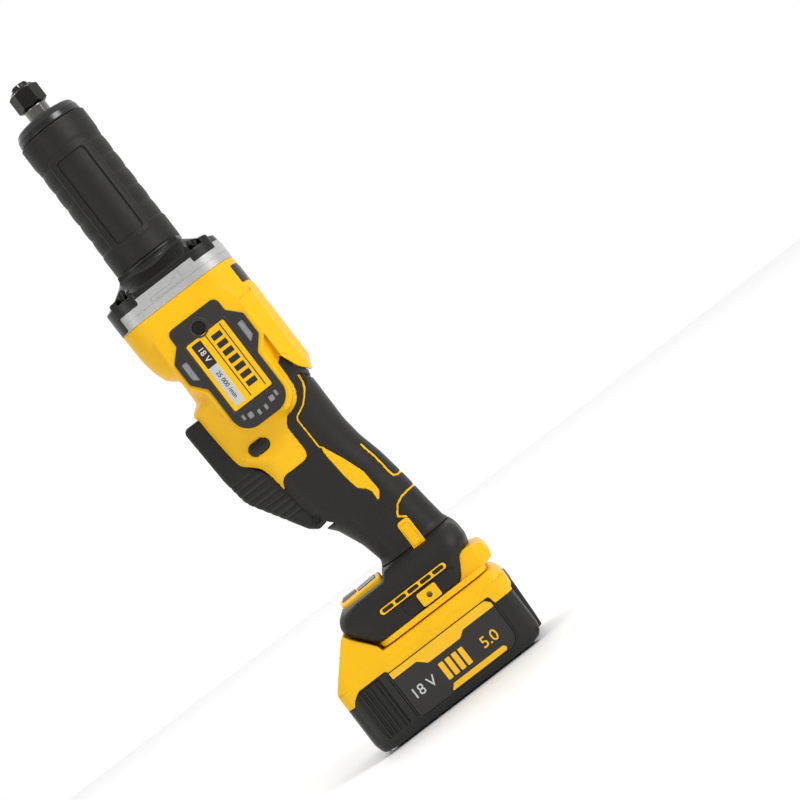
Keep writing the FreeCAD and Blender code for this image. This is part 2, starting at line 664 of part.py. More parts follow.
def make_lock_hole(grow):
    x, z = LOCK
    half_x = 0.5 * LOCK_SIZE[0] + grow
    half_z = 0.5 * LOCK_SIZE[1] + grow
    return stadium_y(x - half_x, x + half_x, z - half_z, z + half_z, -50, 50)


def make_clamshell():
    core = make_body().fuse([stack(FOOT_SECTIONS), stack(TAIL_SECTIONS)])
    opening = prism_y(PADDLE_OPENING, -PADDLE_HALF - 0.8, PADDLE_HALF + 0.8)
    cuts = [
        make_clamshell_cavity(),
        make_battery_slot(),
        opening,
        make_lock_hole(0.25),
        control_bezel_block(0.0),
        rod_y(2.0, -17.4, 17.4, *PIVOT),
    ]
    cuts += [rod_z(BOLT_RADIUS, 261.9, 282, x, y) for x, y in bolt_places()]
    cuts += [rod_z(2.0, POCKET_TOP_Z - 1, FOOT_FLOOR_Z + 1, 34.0, y) for y in (-6, 6)]
    vents = make_side_vents()
    cuts += [vents, mirrored(vents)]
    x, z = PANEL_SCREW
    cuts += [rod_y(1.8, 29.0, 45, x, z), rod_y(1.8, -45, -29.0, x, z)]
    cuts += [rod_y(3.0, 28.2, 40, *INSERT), rod_y(3.0, -40, -28.2, *INSERT)]
    for x, z in CLAMSHELL_SCREWS:
        head_y = width_at(z) - 4.0
        cuts.append(rod_y(1.6, -head_y, head_y, x, z))
        cuts.append(rod_y(3.1, head_y, 40, x, z))
    shell = core
    for cut in cuts:
        shell = shell.cut(cut)
    return shell.common(LEFT), shell.common(RIGHT)


def make_housing_screws():
    screws = []
    for x, z in CLAMSHELL_SCREWS:
        head_y = width_at(z) - 4.0
        shank = rod_y(1.6, -head_y + 1, head_y, x, z)
        head = rod_y(2.9, head_y, head_y + 2.2, x, z)
        socket = rod_y(1.2, head_y + 0.9, head_y + 3, x, z)
        screws.append(head.fuse(shank).cut(socket))
    return Part.makeCompound(screws)


# ---------------------------------------------------------------- panels and overmoulds
def make_side_panel():
    """Flat left panel on its seat, with a pocket for the nameplate."""
    x, z = PANEL_SCREW
    panel = prism_y(PANEL_OUTLINE, -PANEL_FACE, -PANEL_SEAT)
    pocket = prism_y(NAMEPLATE_OUTLINE, -PANEL_FACE - 1, -NAMEPLATE_Y[0])
    return panel.cut([make_body(), pocket, make_side_vents(), rod_y(3.7, -50, -20, x, z)])


def make_nameplate():
    return prism_y(NAMEPLATE_OUTLINE, -NAMEPLATE_Y[1], -NAMEPLATE_Y[0])


def make_panel_screws():
    x, z = PANEL_SCREW
    wall_y = width_at(z)
    head = rod_y(3.5, -wall_y - 1.0, -wall_y, x, z)
    shank = rod_y(1.8, -wall_y, -wall_y + 6.5, x, z)
    socket = rod_y(1.3, -wall_y - 2, -wall_y - 0.3, x, z)
    return both_sides(head.fuse(shank).cut(socket))


def make_rubber_grip():
    """Left overmould on the back and the finger side of the handle."""
    region = prism_y(GRIP_OUTLINE, -60, 0)
    opening = prism_y(PADDLE_OPENING, -PADDLE_HALF - 0.8, 1)
    return stack(BODY_SECTIONS, SKIN).common(region).cut(make_body()).cut(opening)


def make_foot_cover():
    """Black left half shell over the foot, above the rail rim and the tail block."""
    rim_z = 53.2
    sections = [s for s in FOOT_SECTIONS if s[0] > 51]
    top = FOOT_SECTIONS[0]
    sections[0] = (top[0] + 0.9,) + top[1:]
    cover = stack(sections, SKIN).common(LEFT)
    keep = block(-60, 60, -60, 0, rim_z, 90)
    removed = [
        stack(FOOT_SECTIONS), stack(TAIL_SECTIONS), stack(BODY_SECTIONS, SKIN),
        make_battery_slot(), control_bezel_block(0.0), vent_strip_block(),
        rod_y(3.0, -40, -28, *INSERT),
    ]
    cover = cover.common(keep)
    for shape in removed:
        cover = cover.cut(shape)
    return cover


# ---------------------------------------------------------------- foot details
INSERT = (11.1, 58.8)     # accessory thread in each side of the foot, (x, z)
VENT_STRIP = (-17.8, 28.7, 65.0, 69.0)
BEZEL = (-34.5, -6.0, 13.0)


def vent_strip_block():
    x_min, x_max, z_min, z_max = VENT_STRIP
    return stadium_y(x_min, x_max, z_min, z_max, -36, -33.9)


def make_vent_strips():
    x_min, x_max, z_min, z_max = VENT_STRIP
    strip = stadium_y(x_min + 0.1, x_max - 0.1, z_min + 0.1, z_max - 0.1, -35.3, -34.2)
    slot_count = 5
    slot_length = 6.6
    pitch = (x_max - x_min - 6.0) / slot_count
    for i in range(slot_count):
        start = x_min + 3.0 + i * pitch + 0.5 * (pitch - slot_length)
        slot = stadium_y(start, start + slot_length, 66.1, 67.9, -36, -34.7)
        strip = strip.cut(slot)
    return both_sides(strip)


def make_accessory_inserts():
    insert = rod_y(3.0, -34.6, -28.2, *INSERT)
    return both_sides(insert.cut(rod_y(1.65, -36, -29.0, *INSERT)))


def control_bezel_block(inset):
    x_min, x_max, half = BEZEL
    section = (80.5, x_min + inset, x_max - inset, half - inset, 4.0)
    return stack([section, (84.9,) + section[1:]])


def make_control_bezel():
    lens = block(-21.2, -8.8, -9.2, 9.2, 83.2, 90)
    button = block(-32.4, -22.6, -7.4, 7.4, 80.9, 90)
    return control_bezel_block(0.05).cut([lens, button])


def make_display_lens():
    return block(-21.1, -8.9, -9.1, 9.1, 83.2, 85.0)


def make_speed_button():
    key = block(-32.0, -23.0, -7.0, 7.0, 82.2, 85.3)
    return key.makeFillet(0.5, key.Edges)


def make_controller_tray():
    outer = block(-10.0, 38.0, -22.0, 22.0, FOOT_FLOOR_Z, 76.5)
    inner = block(-8.4, 36.4, -20.4, 20.4, FOOT_FLOOR_Z + 1.6, 80)
    holes = [rod_z(2.0, 60, 80, 34.0, y) for y in (-6, 6)]
    return outer.cut([inner] + holes)


def make_controller_board():
    """Circuit board on its potting, with power transistors and a capacitor on top."""
    board = block(-8.4, 36.4, -20.4, 20.4, 72.0, 73.6)
    parts = [block(-6.0 + 7 * i, -1.5 + 7 * i, 8.0, 18.0, 73.6, 75.4) for i in range(4)]
    parts.append(rod_z(4.5, 73.6, 80.0, 3.0, -12.0))
    parts.append(block(9.0, 17.0, -15.0, -7.0, 73.6, 74.8))
    return board.fuse(parts)


def blade_places():
    middle = 0.5 * (BLADE_COUNT - 1)
    return [(i - middle) * BLADE_PITCH for i in range(BLADE_COUNT)]


def make_terminal_block():
    body = block(30.0, 38.0, -24.0, 24.0, 51.0, POCKET_TOP_Z)
    body = body.common(make_battery_slot())
    return body.cut([block(20, 34, y - 0.4, y + 0.4, 52.5, 58.0) for y in blade_places()])


def make_terminal_blades():
    blades = [block(14.0, 34.0, y - 0.4, y + 0.4, 52.5, 58.0) for y in blade_places()]
    return Part.makeCompound(blades)


# ---------------------------------------------------------------- switch and paddle
def make_trigger_switch():
    body = block(-16.0, 4.0, -9.0, 9.0, 145.0, 176.0)
    return body.cut(rod_x(2.55, -20, -6.0, 0, PLUNGER_Z))


def make_switch_plunger():
    stem = rod_x(2.5, -22.0, -9.0, 0, PLUNGER_Z)
    cap = rod_x(3.4, -26.0, -21.0, 0, PLUNGER_Z)
    return stem.fuse(cap)


def make_trigger_paddle():
    body = prism_y(PADDLE_OUTLINE, -PADDLE_HALF, PADDLE_HALF)
    hollow_half = PADDLE_HALF - 2.4
    body = body.cut(prism_y(PADDLE_HOLLOW, -hollow_half, hollow_half))
    presser = block(-41.0, -26.5, -3.0, 3.0, PLUNGER_Z - 4, PLUNGER_Z + 4)
    body = body.fuse(presser)
    spring_room = block(-22.0, 0.0, -5.5, 5.5, 120.0, 139.5)
    return body.cut([rod_y(2.0 + SLIP, -20, 20, *PIVOT), spring_room])


def make_trigger_pin():
    return rod_y(2.0, -17.4, 17.4, *PIVOT)


def make_trigger_spring():
    """Torsion spring round the paddle pin, with one straight leg along the handle."""
    wire = 0.55
    radius = 3.2
    coil = spring_coil(radius, wire, 1.4, 8.4)
    coil.rotate(Vector(0, 0, 0), Vector(1, 0, 0), -90)
    coil.translate(Vector(PIVOT[0], -4.2, PIVOT[1]))
    return coil


def make_lock_button():
    x, z = LOCK
    half_x, half_z = 0.5 * LOCK_SIZE[0], 0.5 * LOCK_SIZE[1]
    return stadium_y(x - half_x, x + half_x, z - half_z, z + half_z, -22.2, 22.2 - LOCK_TRAVEL)


# ---------------------------------------------------------------- battery pack
def make_pack_lower():
    shell = stack(PACK_LOWER_SECTIONS)
    hollow = stack([(PACK_WALL,) + PACK_LOWER_SECTIONS[1][1:]] + PACK_LOWER_SECTIONS[2:], -PACK_WALL)
    holes = []
    for x, y in pack_screw_places():
        holes.append(rod_z(2.8, -1, PACK_WALL, x, y))
        holes.append(rod_z(1.5, 1, 34.0, x, y))
    posts = [rod_z(PACK_POST, 1.0, PACK_POST_Z, x, y) for x, y in pack_screw_places()]
    return shell.cut(hollow.cut(posts)).cut(holes)


def pack_screw_places():
    return [(x, sy * 29.5) for x in (-57.8, 43.8) for sy in (-1, 1)]


def make_pack_screws():
    screws = []
    for x, y in pack_screw_places():
        head = rod_z(2.6, 0.6, PACK_WALL, x, y).cut(rod_z(1.1, 0.0, 1.6, x, y))
        screws.append(head.fuse(rod_z(1.4, PACK_WALL, 40.0, x, y)))
    return Part.makeCompound(screws)


def make_tongue():
    """T-shaped tongue on the deck that slides between the rails of the foot."""
    neck = block(-24.5, 28.0, -RAIL_HALF + 0.4, RAIL_HALF - 0.4, 47.0, LIP_Z - 0.5)
    flange = block(-24.5, 28.0, -POCKET_HALF + 0.4, POCKET_HALF - 0.4, RAIL_TOP_Z + 0.4, LIP_Z - 0.5)
    return neck.fuse(flange)


def terminal_slots():
    slots = []
    for y in blade_places():
        slots.append(block(12.0, 40, y - 1.3, y + 1.3, 51.5, 58.8))
        slots.append(block(9.0, 15.0, y - 1.3, y + 1.3, 43.5, 58.8))
    return slots


def make_pack_upper():
    nose = prism_y(PACK_NOSE, -29.0, 29.0)
    shell = stack(PACK_UPPER_SECTIONS).fuse([nose, make_tongue()])
    hollow_half = PACK_HALF - PACK_WALL
    bay = stack([(PACK_SPLIT_Z, -65.0, 50.8, hollow_half, 9.0), (43.5, -65.0, 50.8, hollow_half, 9.0)])
    posts = [rod_z(PACK_POST, PACK_POST_Z + 0.2, 45.0, x, y) for x, y in pack_screw_places()]
    shell = shell.fuse(posts)
    bay = bay.cut(posts)
    deck_room = block(-26.0, 46.0, -30.0, 30.0, 43.0, 47.2)
    nose_room = prism_y(NOSE_HOLLOW, -26.0, 26.0)
    window = [(-64.0, 44.8, 0.0), (-64.0, 52.0, 0.0), (-51.2, 63.3, 0.0), (-46.0, 59.5, 0.0),
              (-46.0, 54.0, 0.0), (-56.6, 44.8, 0.0)]
    arm_gate = block(-45, -20, -8.6, 8.6, 51.0, 70.0)
    arm_gate = arm_gate.common(block(-45, -24.7, -8.6, 8.6, 51.0, 64.6))
    cuts = [bay, deck_room, nose_room, prism_y(window, -14.5, 14.5), arm_gate]
    cuts += terminal_slots()
    cuts += [rod_z(1.4, 20.0, 40.0, x, y) for x, y in pack_screw_places()]
    cuts.append(block(49.0, 60.0, -6.3, 6.3, 35.7, 42.3))
    for cut in cuts:
        shell = shell.cut(cut)
    return shell


def make_latch_button():
    """Release button in the sloping nose, its arm, and the tooth behind the catch lip."""
    face = [(-62.0, 49.3, 0.0), (-50.6, 62.3, 0.0), (-46.6, 59.4, 0.0), (-57.0, 49.3, 0.0)]
    key = prism_y(face, -14.0, 14.0)
    arm = block(-54.0, -25.2, -8.0, 8.0, 56.2, 59.6)
    tooth = block(-29.9, -25.2, -8.0, 8.0, 59.0, 63.6)
    return key.fuse([arm, tooth])


def make_latch_spring():
    coil = spring_coil(3.4, 0.5, 2.1, 9.2)
    coil.translate(Vector(-45.0, 0, 46.3))
    return coil


def make_pack_cells():
    cells = []
    half = 0.5 * CELL_LENGTH
    for row in range(2):
        for column in range(CELL_COLUMNS):
            x = -45.0 + CELL_PITCH * column
            z = 14.0 + 18.8 * row
            cells.append(rod_y(CELL_RADIUS, -half, half, x, z))
    return Part.makeCompound(cells)


def make_cell_frame():
    """Two comb plates that hold the cells apart near their ends."""
    plate = block(-50.0, 36.0, -28.0, -23.0, 3.0, 42.6)
    plate = plate.cut(make_pack_cells())
    return both_sides(plate)


def make_pack_board():
    return block(-22.0, 26.0, -26.0, 26.0, 43.2, 44.8)


def make_pack_terminals():
    clips = []
    for y in blade_places():
        sides = [block(9.5, 22.0, y + s * 0.75 - 0.25, y + s * 0.75 + 0.25, 52.0, 58.4) for s in (-1, 1)]
        back = block(9.5, 12.0, y - 0.9, y + 0.9, 44.8, 58.4)
        clips.append(back.fuse(sides))
    return Part.makeCompound(clips)


def make_pack_labels():
    label = block(-34.0, 36.7, -PACK_HALF - 0.3, -PACK_HALF, 9.0, 39.0)
    return both_sides(label)


def make_fuel_gauge_button():
    return block(50.0, 53.4, -6.0, 6.0, 36.0, 42.0)


# ---------------------------------------------------------------- nodes
def make_nodes():
    outer_races, inner_races, balls = make_bearings()
    housing_left, housing_right = make_clamshell()
    nodes = {
        "collet": make_collet(),
        "collet_nut": make_collet_nut(),
        "spindle": make_spindle(),
        "shaft_coupling": make_shaft_coupling(),
        "bearing_outer_races": outer_races,
        "bearing_inner_races": inner_races,
        "bearing_balls": balls,
        "nose_housing": make_nose_housing(),
        "nose_cap": make_nose_cap(),
        "nose_grip": make_nose_grip(),
        "retaining_ring": make_retaining_ring(),
        "adapter_plate": make_adapter_plate(),
        "flange_screws": make_flange_screws(),
        "motor_shaft": make_motor_shaft(),
        "stator_core": make_stator_core(),
        "stator_coils": make_stator_coils(),
        "stator_end_ring": make_stator_end_ring(),
        "rotor_core": make_rotor_core(),
        "rotor_magnets": make_rotor_magnets(),
        "cooling_fan": make_cooling_fan(),
        "fan_baffle": make_fan_baffle(),
        "leads": make_leads(),
        "housing_left": housing_left,
        "housing_right": housing_right,
        "housing_screws": make_housing_screws(),
        "panel_screws": make_panel_screws(),
        "vent_strips": make_vent_strips(),
        "accessory_inserts": make_accessory_inserts(),
        "control_bezel": make_control_bezel(),
        "display_lens": make_display_lens(),
        "speed_button": make_speed_button(),
        "controller_tray": make_controller_tray(),
        "controller_board": make_controller_board(),
        "terminal_block": make_terminal_block(),
        "terminal_blades": make_terminal_blades(),
        "trigger_switch": make_trigger_switch(),
        "switch_plunger": make_switch_plunger(),
        "trigger_paddle": make_trigger_paddle(),
        "trigger_pin": make_trigger_pin(),
        "trigger_spring": make_trigger_spring(),
        "lock_button": make_lock_button(),
        "pack_lower": make_pack_lower(),
        "pack_upper": make_pack_upper(),
        "pack_screws": make_pack_screws(),
        "pack_cells": make_pack_cells(),
        "cell_frame": make_cell_frame(),
        "pack_board": make_pack_board(),
        "pack_terminals": make_pack_terminals(),
        "pack_labels": make_pack_labels(),
        "latch_button": make_latch_button(),
        "latch_spring": make_latch_spring(),
        "fuel_gauge_button": make_fuel_gauge_button(),
    }
    paired = {
        "side_panel": make_side_panel(),
        "nameplate": make_nameplate(),
        "rubber_grip": make_rubber_grip(),
        "foot_cover": make_foot_cover(),
    }
    for name, shape in paired.items():
        nodes[name + "_left"] = shape
        nodes[name + "_right"] = mirrored(shape)
    screw_holes = [rod_y(3.1, 5, 40, x, z) for x, z in CLAMSHELL_SCREWS]
    nodes["rubber_grip_right"] = nodes["rubber_grip_right"].cut(screw_holes)
    return nodes


os.makedirs("parts", exist_ok=True)
for name, shape in make_nodes().items():
    print(f"{name:22s} solids {len(shape.Solids):2d}  volume {shape.Volume:10.1f}  valid {shape.isValid()}")
    shape.exportStep(f"parts/{name}.step")
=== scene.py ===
import json
import math

import bpy
import numpy as np
from mathutils import Matrix, Vector


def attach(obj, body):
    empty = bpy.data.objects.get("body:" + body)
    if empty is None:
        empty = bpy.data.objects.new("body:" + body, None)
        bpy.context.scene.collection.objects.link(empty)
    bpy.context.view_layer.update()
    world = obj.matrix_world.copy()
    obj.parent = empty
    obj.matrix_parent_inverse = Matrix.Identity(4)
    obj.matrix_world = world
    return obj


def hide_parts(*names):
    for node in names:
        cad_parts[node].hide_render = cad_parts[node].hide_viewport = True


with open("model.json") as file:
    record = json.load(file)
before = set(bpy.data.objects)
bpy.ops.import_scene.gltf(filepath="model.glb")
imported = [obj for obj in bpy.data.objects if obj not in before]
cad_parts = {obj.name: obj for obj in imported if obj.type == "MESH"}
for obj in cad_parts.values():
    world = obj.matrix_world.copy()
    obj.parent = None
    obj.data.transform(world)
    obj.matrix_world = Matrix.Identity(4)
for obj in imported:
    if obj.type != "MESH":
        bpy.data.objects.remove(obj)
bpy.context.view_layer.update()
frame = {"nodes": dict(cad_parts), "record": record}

# Cordless die grinder. The skins are meshed from signed distance fields written in
# millimetres, in the row frame: Z is the spindle axis, -X the paddle side, -Y the left side.
STEP = 0.65
FINE = 0.4
BLOCK = 8


# ---- field helpers
def meet(a, b, r):
    """Intersection of two fields with an edge of radius r."""
    return np.minimum(np.maximum(a, b), -r) + np.hypot(np.maximum(a + r, 0), np.maximum(b + r, 0))


def join(a, b, r):
    """Union of two fields with a fillet of radius r."""
    return np.maximum(np.minimum(a, b), r) - np.hypot(np.maximum(r - a, 0), np.maximum(r - b, 0))


def carve(a, b, r):
    return meet(a, -b, r)


def cut(a, plan, depth, r):
    """Carves where both fields are inside."""
    return carve(a, np.maximum(plan, depth), r)


def rounded_rect(u, v, half_u, half_v, radius):
    a = np.abs(u) - half_u + radius
    b = np.abs(v) - half_v + radius
    return np.hypot(np.maximum(a, 0), np.maximum(b, 0)) + np.minimum(np.maximum(a, b), 0) - radius


def box_field(x, y, z, x_range, y_range, z_range, r):
    """Box with edges of radius r."""
    q = []
    for value, (low, high) in ((x, x_range), (y, y_range), (z, z_range)):
        q.append(np.abs(value - 0.5 * (low + high)) - 0.5 * (high - low) + r)
    outside = np.sqrt(sum(np.maximum(part, 0) ** 2 for part in q))
    return outside + np.minimum(np.maximum(np.maximum(q[0], q[1]), q[2]), 0) - r


def slab(value, low, high):
    return np.abs(value - 0.5 * (low + high)) - 0.5 * (high - low)


TABLE_Z = np.arange(-6, 446, 0.25)


def profile(knots, blur):
    """Smooth table of a value along Z, through (z, value) knots."""
    heights = [k[0] for k in knots]
    values = np.interp(TABLE_Z, heights, [k[1] for k in knots])
    count = max(2, int(3 * blur / 0.25))
    reach = np.arange(-count, count + 1) * 0.25
    kernel = np.exp(-0.5 * (reach / blur) ** 2)
    kernel /= kernel.sum()
    table = np.convolve(np.pad(values, count, mode="edge"), kernel, mode="valid")
    return lambda z: np.interp(z, TABLE_Z, table)


def rounded_points(corners):
    """Polyline round (a, b, radius) corners of a closed outline."""
    points = []
    count = len(corners)
    for i in range(count):
        here = np.array(corners[i][:2], float)
        radius = corners[i][2]
        back = np.array(corners[i - 1][:2], float) - here
        ahead = np.array(corners[(i + 1) % count][:2], float) - here
        back /= np.linalg.norm(back)
        ahead /= np.linalg.norm(ahead)
        half = 0.5 * math.acos(max(-1.0, min(1.0, float(back @ ahead))))
        if radius <= 0 or half > 1.55:
            points.append(here)
            continue
        reach = radius / math.tan(half)
        middle = back + ahead
        centre = here + middle / np.linalg.norm(middle) * radius / math.sin(half)
        start = here + back * reach - centre
        end = here + ahead * reach - centre
        first = math.atan2(start[1], start[0])
        turn = (math.atan2(end[1], end[0]) - first + math.pi) % (2 * math.pi) - math.pi
        steps = max(3, int(abs(turn) * radius / 0.5) + 2)
        for k in range(steps + 1):
            angle = first + turn * k / steps
            points.append(centre + radius * np.array((math.cos(angle), math.sin(angle))))
    return np.array(points)


class Outline:
    """Signed distance in a plane, kept as a table: to a closed outline of rounded corners,
    negative inside, or to a line of points drawn with a half width."""
    def __init__(self, corners, pitch=0.4, half_width=0.0):
        closed = not half_width
        margin = 6.0
        points = rounded_points(corners) if closed else np.array(corners, float)
        self.low = points.min(0) - margin
        self.pitch = pitch
        self.count = np.ceil((points.max(0) + margin - self.low) / pitch).astype(int) + 1
        a = self.low[0] + pitch * np.arange(self.count[0])
        b = self.low[1] + pitch * np.arange(self.count[1])
        a, b = np.meshgrid(a, b, indexing="ij")
        nearest = np.full(a.shape, 1e9)
        crossing = np.zeros(a.shape, bool)
        ends = np.roll(points, -1, 0) if closed else points[1:]
        for p, q in zip(points, ends):
            d = q - p
            length = float(d @ d)
            if length < 1e-12:
                continue
            t = np.clip(((a - p[0]) * d[0] + (b - p[1]) * d[1]) / length, 0, 1)
            nearest = np.minimum(nearest, np.hypot(a - p[0] - t * d[0], b - p[1] - t * d[1]))
            if closed and d[1]:
                straddle = (p[1] > b) != (q[1] > b)
                crossing ^= straddle & (a < d[0] * (b - p[1]) / d[1] + p[0])
        self.table = np.where(crossing, -nearest, nearest) - half_width

    def __call__(self, x, z):
        u = (x - self.low[0]) / self.pitch
        v = (z - self.low[1]) / self.pitch
        u1 = np.clip(u, 0, self.count[0] - 1.001)
        v1 = np.clip(v, 0, self.count[1] - 1.001)
        i = u1.astype(int)
        j = v1.astype(int)
        s = u1 - i
        t = v1 - j
        table = self.table
        near = table[i, j] * (1 - s) * (1 - t) + table[i + 1, j] * s * (1 - t)
        near += table[i, j + 1] * (1 - s) * t + table[i + 1, j + 1] * s * t
        return near + self.pitch * np.hypot(u - u1, v - v1)


# ---- mesher
SIDES = (("left", -1), ("right", 1))
SEAM = 0.05                     # half the gap between the clamshell halves


def gradient(field, p):
    """Value and gradient of a field at points."""
    h = 0.03
    value = 0
    slope = np.zeros_like(p)
    for k in ((1, -1, -1), (-1, -1, 1), (-1, 1, -1), (1, 1, 1)):
        k = np.array(k, float)
        q = p + h * k
        d = field(*q.T)
        value = value + 0.25 * d
        slope += d[:, None] * k / (4 * h)
    return value, slope


def settle(field, p, step, rounds):
    for _ in range(rounds):
        value, slope = gradient(field, p)
        size = np.maximum((slope ** 2).sum(1), 0.05)
        move = -slope * (value / size)[:, None]
        length = np.linalg.norm(move, axis=1)
        move *= np.minimum(1, 0.6 * step / np.maximum(length, 1e-9))[:, None]
        p = p + move
    return p


def find_blocks(field, low, counts, step):
    """Blocks of cells that the surface may pass through."""
    size = step * BLOCK
    places = np.argwhere(np.ones(counts))
    centres = low + (places + 0.5) * size
    reach = 0.5 * size * math.sqrt(3) * 1.45 + step
    return places[np.abs(field(*centres.T)) < reach]


CORNERS = np.argwhere(np.ones((2, 2, 2)))
EDGES = [(a, b) for a in range(8) for b in range(a + 1, 8)
         if np.abs(CORNERS[a] - CORNERS[b]).sum() == 1]
AROUND = {
    0: ((0, -1, -1), (0, 0, -1), (0, 0, 0), (0, -1, 0)),
    1: ((-1, 0, -1), (-1, 0, 0), (0, 0, 0), (0, 0, -1)),
    2: ((-1, -1, 0), (0, -1, 0), (0, 0, 0), (-1, 0, 0)),
}


def net(field, low, high, step):
    """Vertices and quads of the surface nets of a field."""
    low = np.array(low, float) - 1.37 * step
    high = np.array(high, float) + 1.37 * step
    counts = np.ceil((high - low) / (step * BLOCK)).astype(int)
    span = counts * BLOCK
    blocks = find_blocks(field, low, counts, step)
    offsets = np.arange(BLOCK + 1) * step
    points, keys, edges = [], [], []

    def cell_key(g):
        return (g[..., 0] * span[1] + g[..., 1]) * span[2] + g[..., 2]

    for first in range(0, len(blocks), 300):
        group = blocks[first:first + 300]
        base = low + group * step * BLOCK
        lines = [base[:, axis, None, None, None] + offsets.reshape(np.roll((-1, 1, 1), axis))
                 for axis in range(3)]
        d = field(*np.broadcast_arrays(*lines))
        inside = d < 0
        total = np.zeros((len(group),) + (BLOCK,) * 3, np.int8)
        for i, j, k in CORNERS:
            total += inside[:, i:BLOCK + i, j:BLOCK + j, k:BLOCK + k]
        b, i, j, k = np.nonzero((total > 0) & (total < 8))
        cell = np.stack((i, j, k), -1)
        values = [d[b, i + c[0], j + c[1], k + c[2]] for c in CORNERS]
        where = np.zeros((len(b), 3))
        crossings = np.zeros(len(b))
        for m, n in EDGES:
            cross = (values[m] < 0) != (values[n] < 0)
            gap = np.where(cross, values[m] - values[n], 1.0)
            t = np.where(cross, values[m] / gap, 0.0)
            where += cross[:, None] * (CORNERS[m] + t[:, None] * (CORNERS[n] - CORNERS[m]))
            crossings += cross
        where /= np.maximum(crossings, 1)[:, None]
        points.append(base[b] + (cell + where) * step)
        keys.append(cell_key(group[b] * BLOCK + cell))
        for axis in range(3):
            a = inside[:, :BLOCK, :BLOCK, :BLOCK]
            shift = [0, 0, 0]
            shift[axis] = 1
            other = inside[:, shift[0]:BLOCK + shift[0], shift[1]:BLOCK + shift[1],
                           shift[2]:BLOCK + shift[2]]
            b, i, j, k = np.nonzero(a != other)
            place = group[b] * BLOCK + np.stack((i, j, k), -1)
            flip = ~a[b, i, j, k]
            ring = np.stack([cell_key(place + np.array(s)) for s in AROUND[axis]], -1)
            ring[flip] = ring[flip][:, ::-1]
            edges.append(ring)
    points = np.concatenate(points)
    keys = np.concatenate(keys)
    order = np.argsort(keys)
    points = points[order]
    keys = keys[order]
    rings = np.concatenate(edges)
    spot = np.minimum(np.searchsorted(keys, rings), len(keys) - 1)
    found = (keys[spot] == rings).all(1)
    return points, spot[found]


def relax(field, p, quads, step):
    """Evens the mesh out along the surface, then puts it back on the surface."""
    middle = p[quads].mean(1)
    total = [np.bincount(quads.ravel(), np.repeat(part, 4), len(p)) for part in middle.T]
    count = np.maximum(np.bincount(quads.ravel(), minlength=len(p)), 1)
    move = (total / count).T - p
    slope = gradient(field, p)[1]
    normal = slope / np.maximum(np.linalg.norm(slope, axis=1), 1e-6)[:, None]
    move -= normal * (move * normal).sum(1)[:, None]
    return settle(field, p + 0.7 * move, step, 2)


def make_mesh(name, points, faces, normals=None):
    """Object from points in millimetres and polygons; normals make it smooth."""
    mesh = bpy.data.meshes.new(name)
    mesh.from_pydata(np.asarray(points, float) * 0.001, [], faces, shade_flat=normals is None)
    if normals is not None:
        mesh.normals_split_custom_set_from_vertices(normals)
    thing = bpy.data.objects.new(name, mesh)
    bpy.context.scene.collection.objects.link(thing)
    return thing


def surface(field, low, high, step):
    """Points, quads and normals of the zero surface of a field."""
    points, quads = net(field, low, high, step)
    points = relax(field, settle(field, points, step, 2), quads, step)
    normals = gradient(field, points)[1]
    normals /= np.maximum(np.linalg.norm(normals, axis=1), 1e-6)[:, None]
    return points, quads, normals


def dress(thing, slot, body, node="", look=""):
    """Material slot and its finish, body, and the CAD node that a piece stands for."""
    thing.data.materials.clear()
    thing.data.materials.append(MATERIALS[look or slot])
    if node:
        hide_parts(node)
    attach(thing, body)


def piece(name, field, low, high, step, slot, node="", body="housing"):
    dress(make_mesh(name, *surface(field, low, high, step)), slot, body, node)


def both_sides(stem, field, low, high, slot, node="", step=FINE, look=""):
    """Left piece of the housing and its mirror image; SIDE in a node's name is left or right."""
    points, quads, normals = surface(field, low, high, step)
    for side, flip in (("left", 1), ("right", -1)):
        turned = np.ascontiguousarray(quads[:, ::flip])
        thing = make_mesh(stem + "_" + side, points * (1, flip, 1), turned, normals * (1, flip, 1))
        dress(thing, slot, "housing", node.replace("SIDE", side), look)


def half(whole, sign, blend):
    """Field of one half, cut at the seam; the right half has the screw wells."""
    def field(x, y, z):
        return meet(whole(x, y, z, sign > 0), SEAM - sign * y, blend)
    return field


# ---- materials
def texture(tree, kind, output, stretch=None, **settings):
    """Texture in object coordinates, drawn out by a stretch; the settings are its inputs."""
    out = tree.nodes.new("ShaderNodeTexCoord").outputs["Object"]
    if stretch:
        mapping = tree.nodes.new("ShaderNodeMapping")
        mapping.inputs["Scale"].default_value = stretch
        tree.links.new(out, mapping.inputs["Vector"])
        out = mapping.outputs["Vector"]
    node = tree.nodes.new(kind)
    for name, value in settings.items():
        node.inputs[name].default_value = value
    tree.links.new(out, node.inputs["Vector"])
    return node.outputs[output]


def noise(tree, scale, detail, stretch=None):
    return texture(tree, "ShaderNodeTexNoise", "Fac", stretch, Scale=scale, Detail=detail)


def ramp_node(tree, value, colours):
    """Three colours spread over the middle of a value's range."""
    ramp = tree.nodes.new("ShaderNodeValToRGB")
    stops = ramp.color_ramp.elements
    stops.new(0.5)
    for stop, position, colour in zip(stops, (0.32, 0.5, 0.68), colours):
        stop.position = position
        stop.color = (*colour, 1)
    tree.links.new(value, ramp.inputs["Fac"])
    return ramp.outputs["Color"]


def range_node(tree, value, low, high, start=0.3, end=0.7):
    """Value from start to end turned into low to high."""
    change = tree.nodes.new("ShaderNodeMapRange")
    for socket, amount in zip(("From Min", "From Max", "To Min", "To Max"), (start, end, low, high)):
        change.inputs[socket].default_value = amount
    tree.links.new(value, change.inputs["Value"])
    return change.outputs["Result"]


def shade(colour, factor):
    return tuple(min(1.0, part * factor) for part in colour)


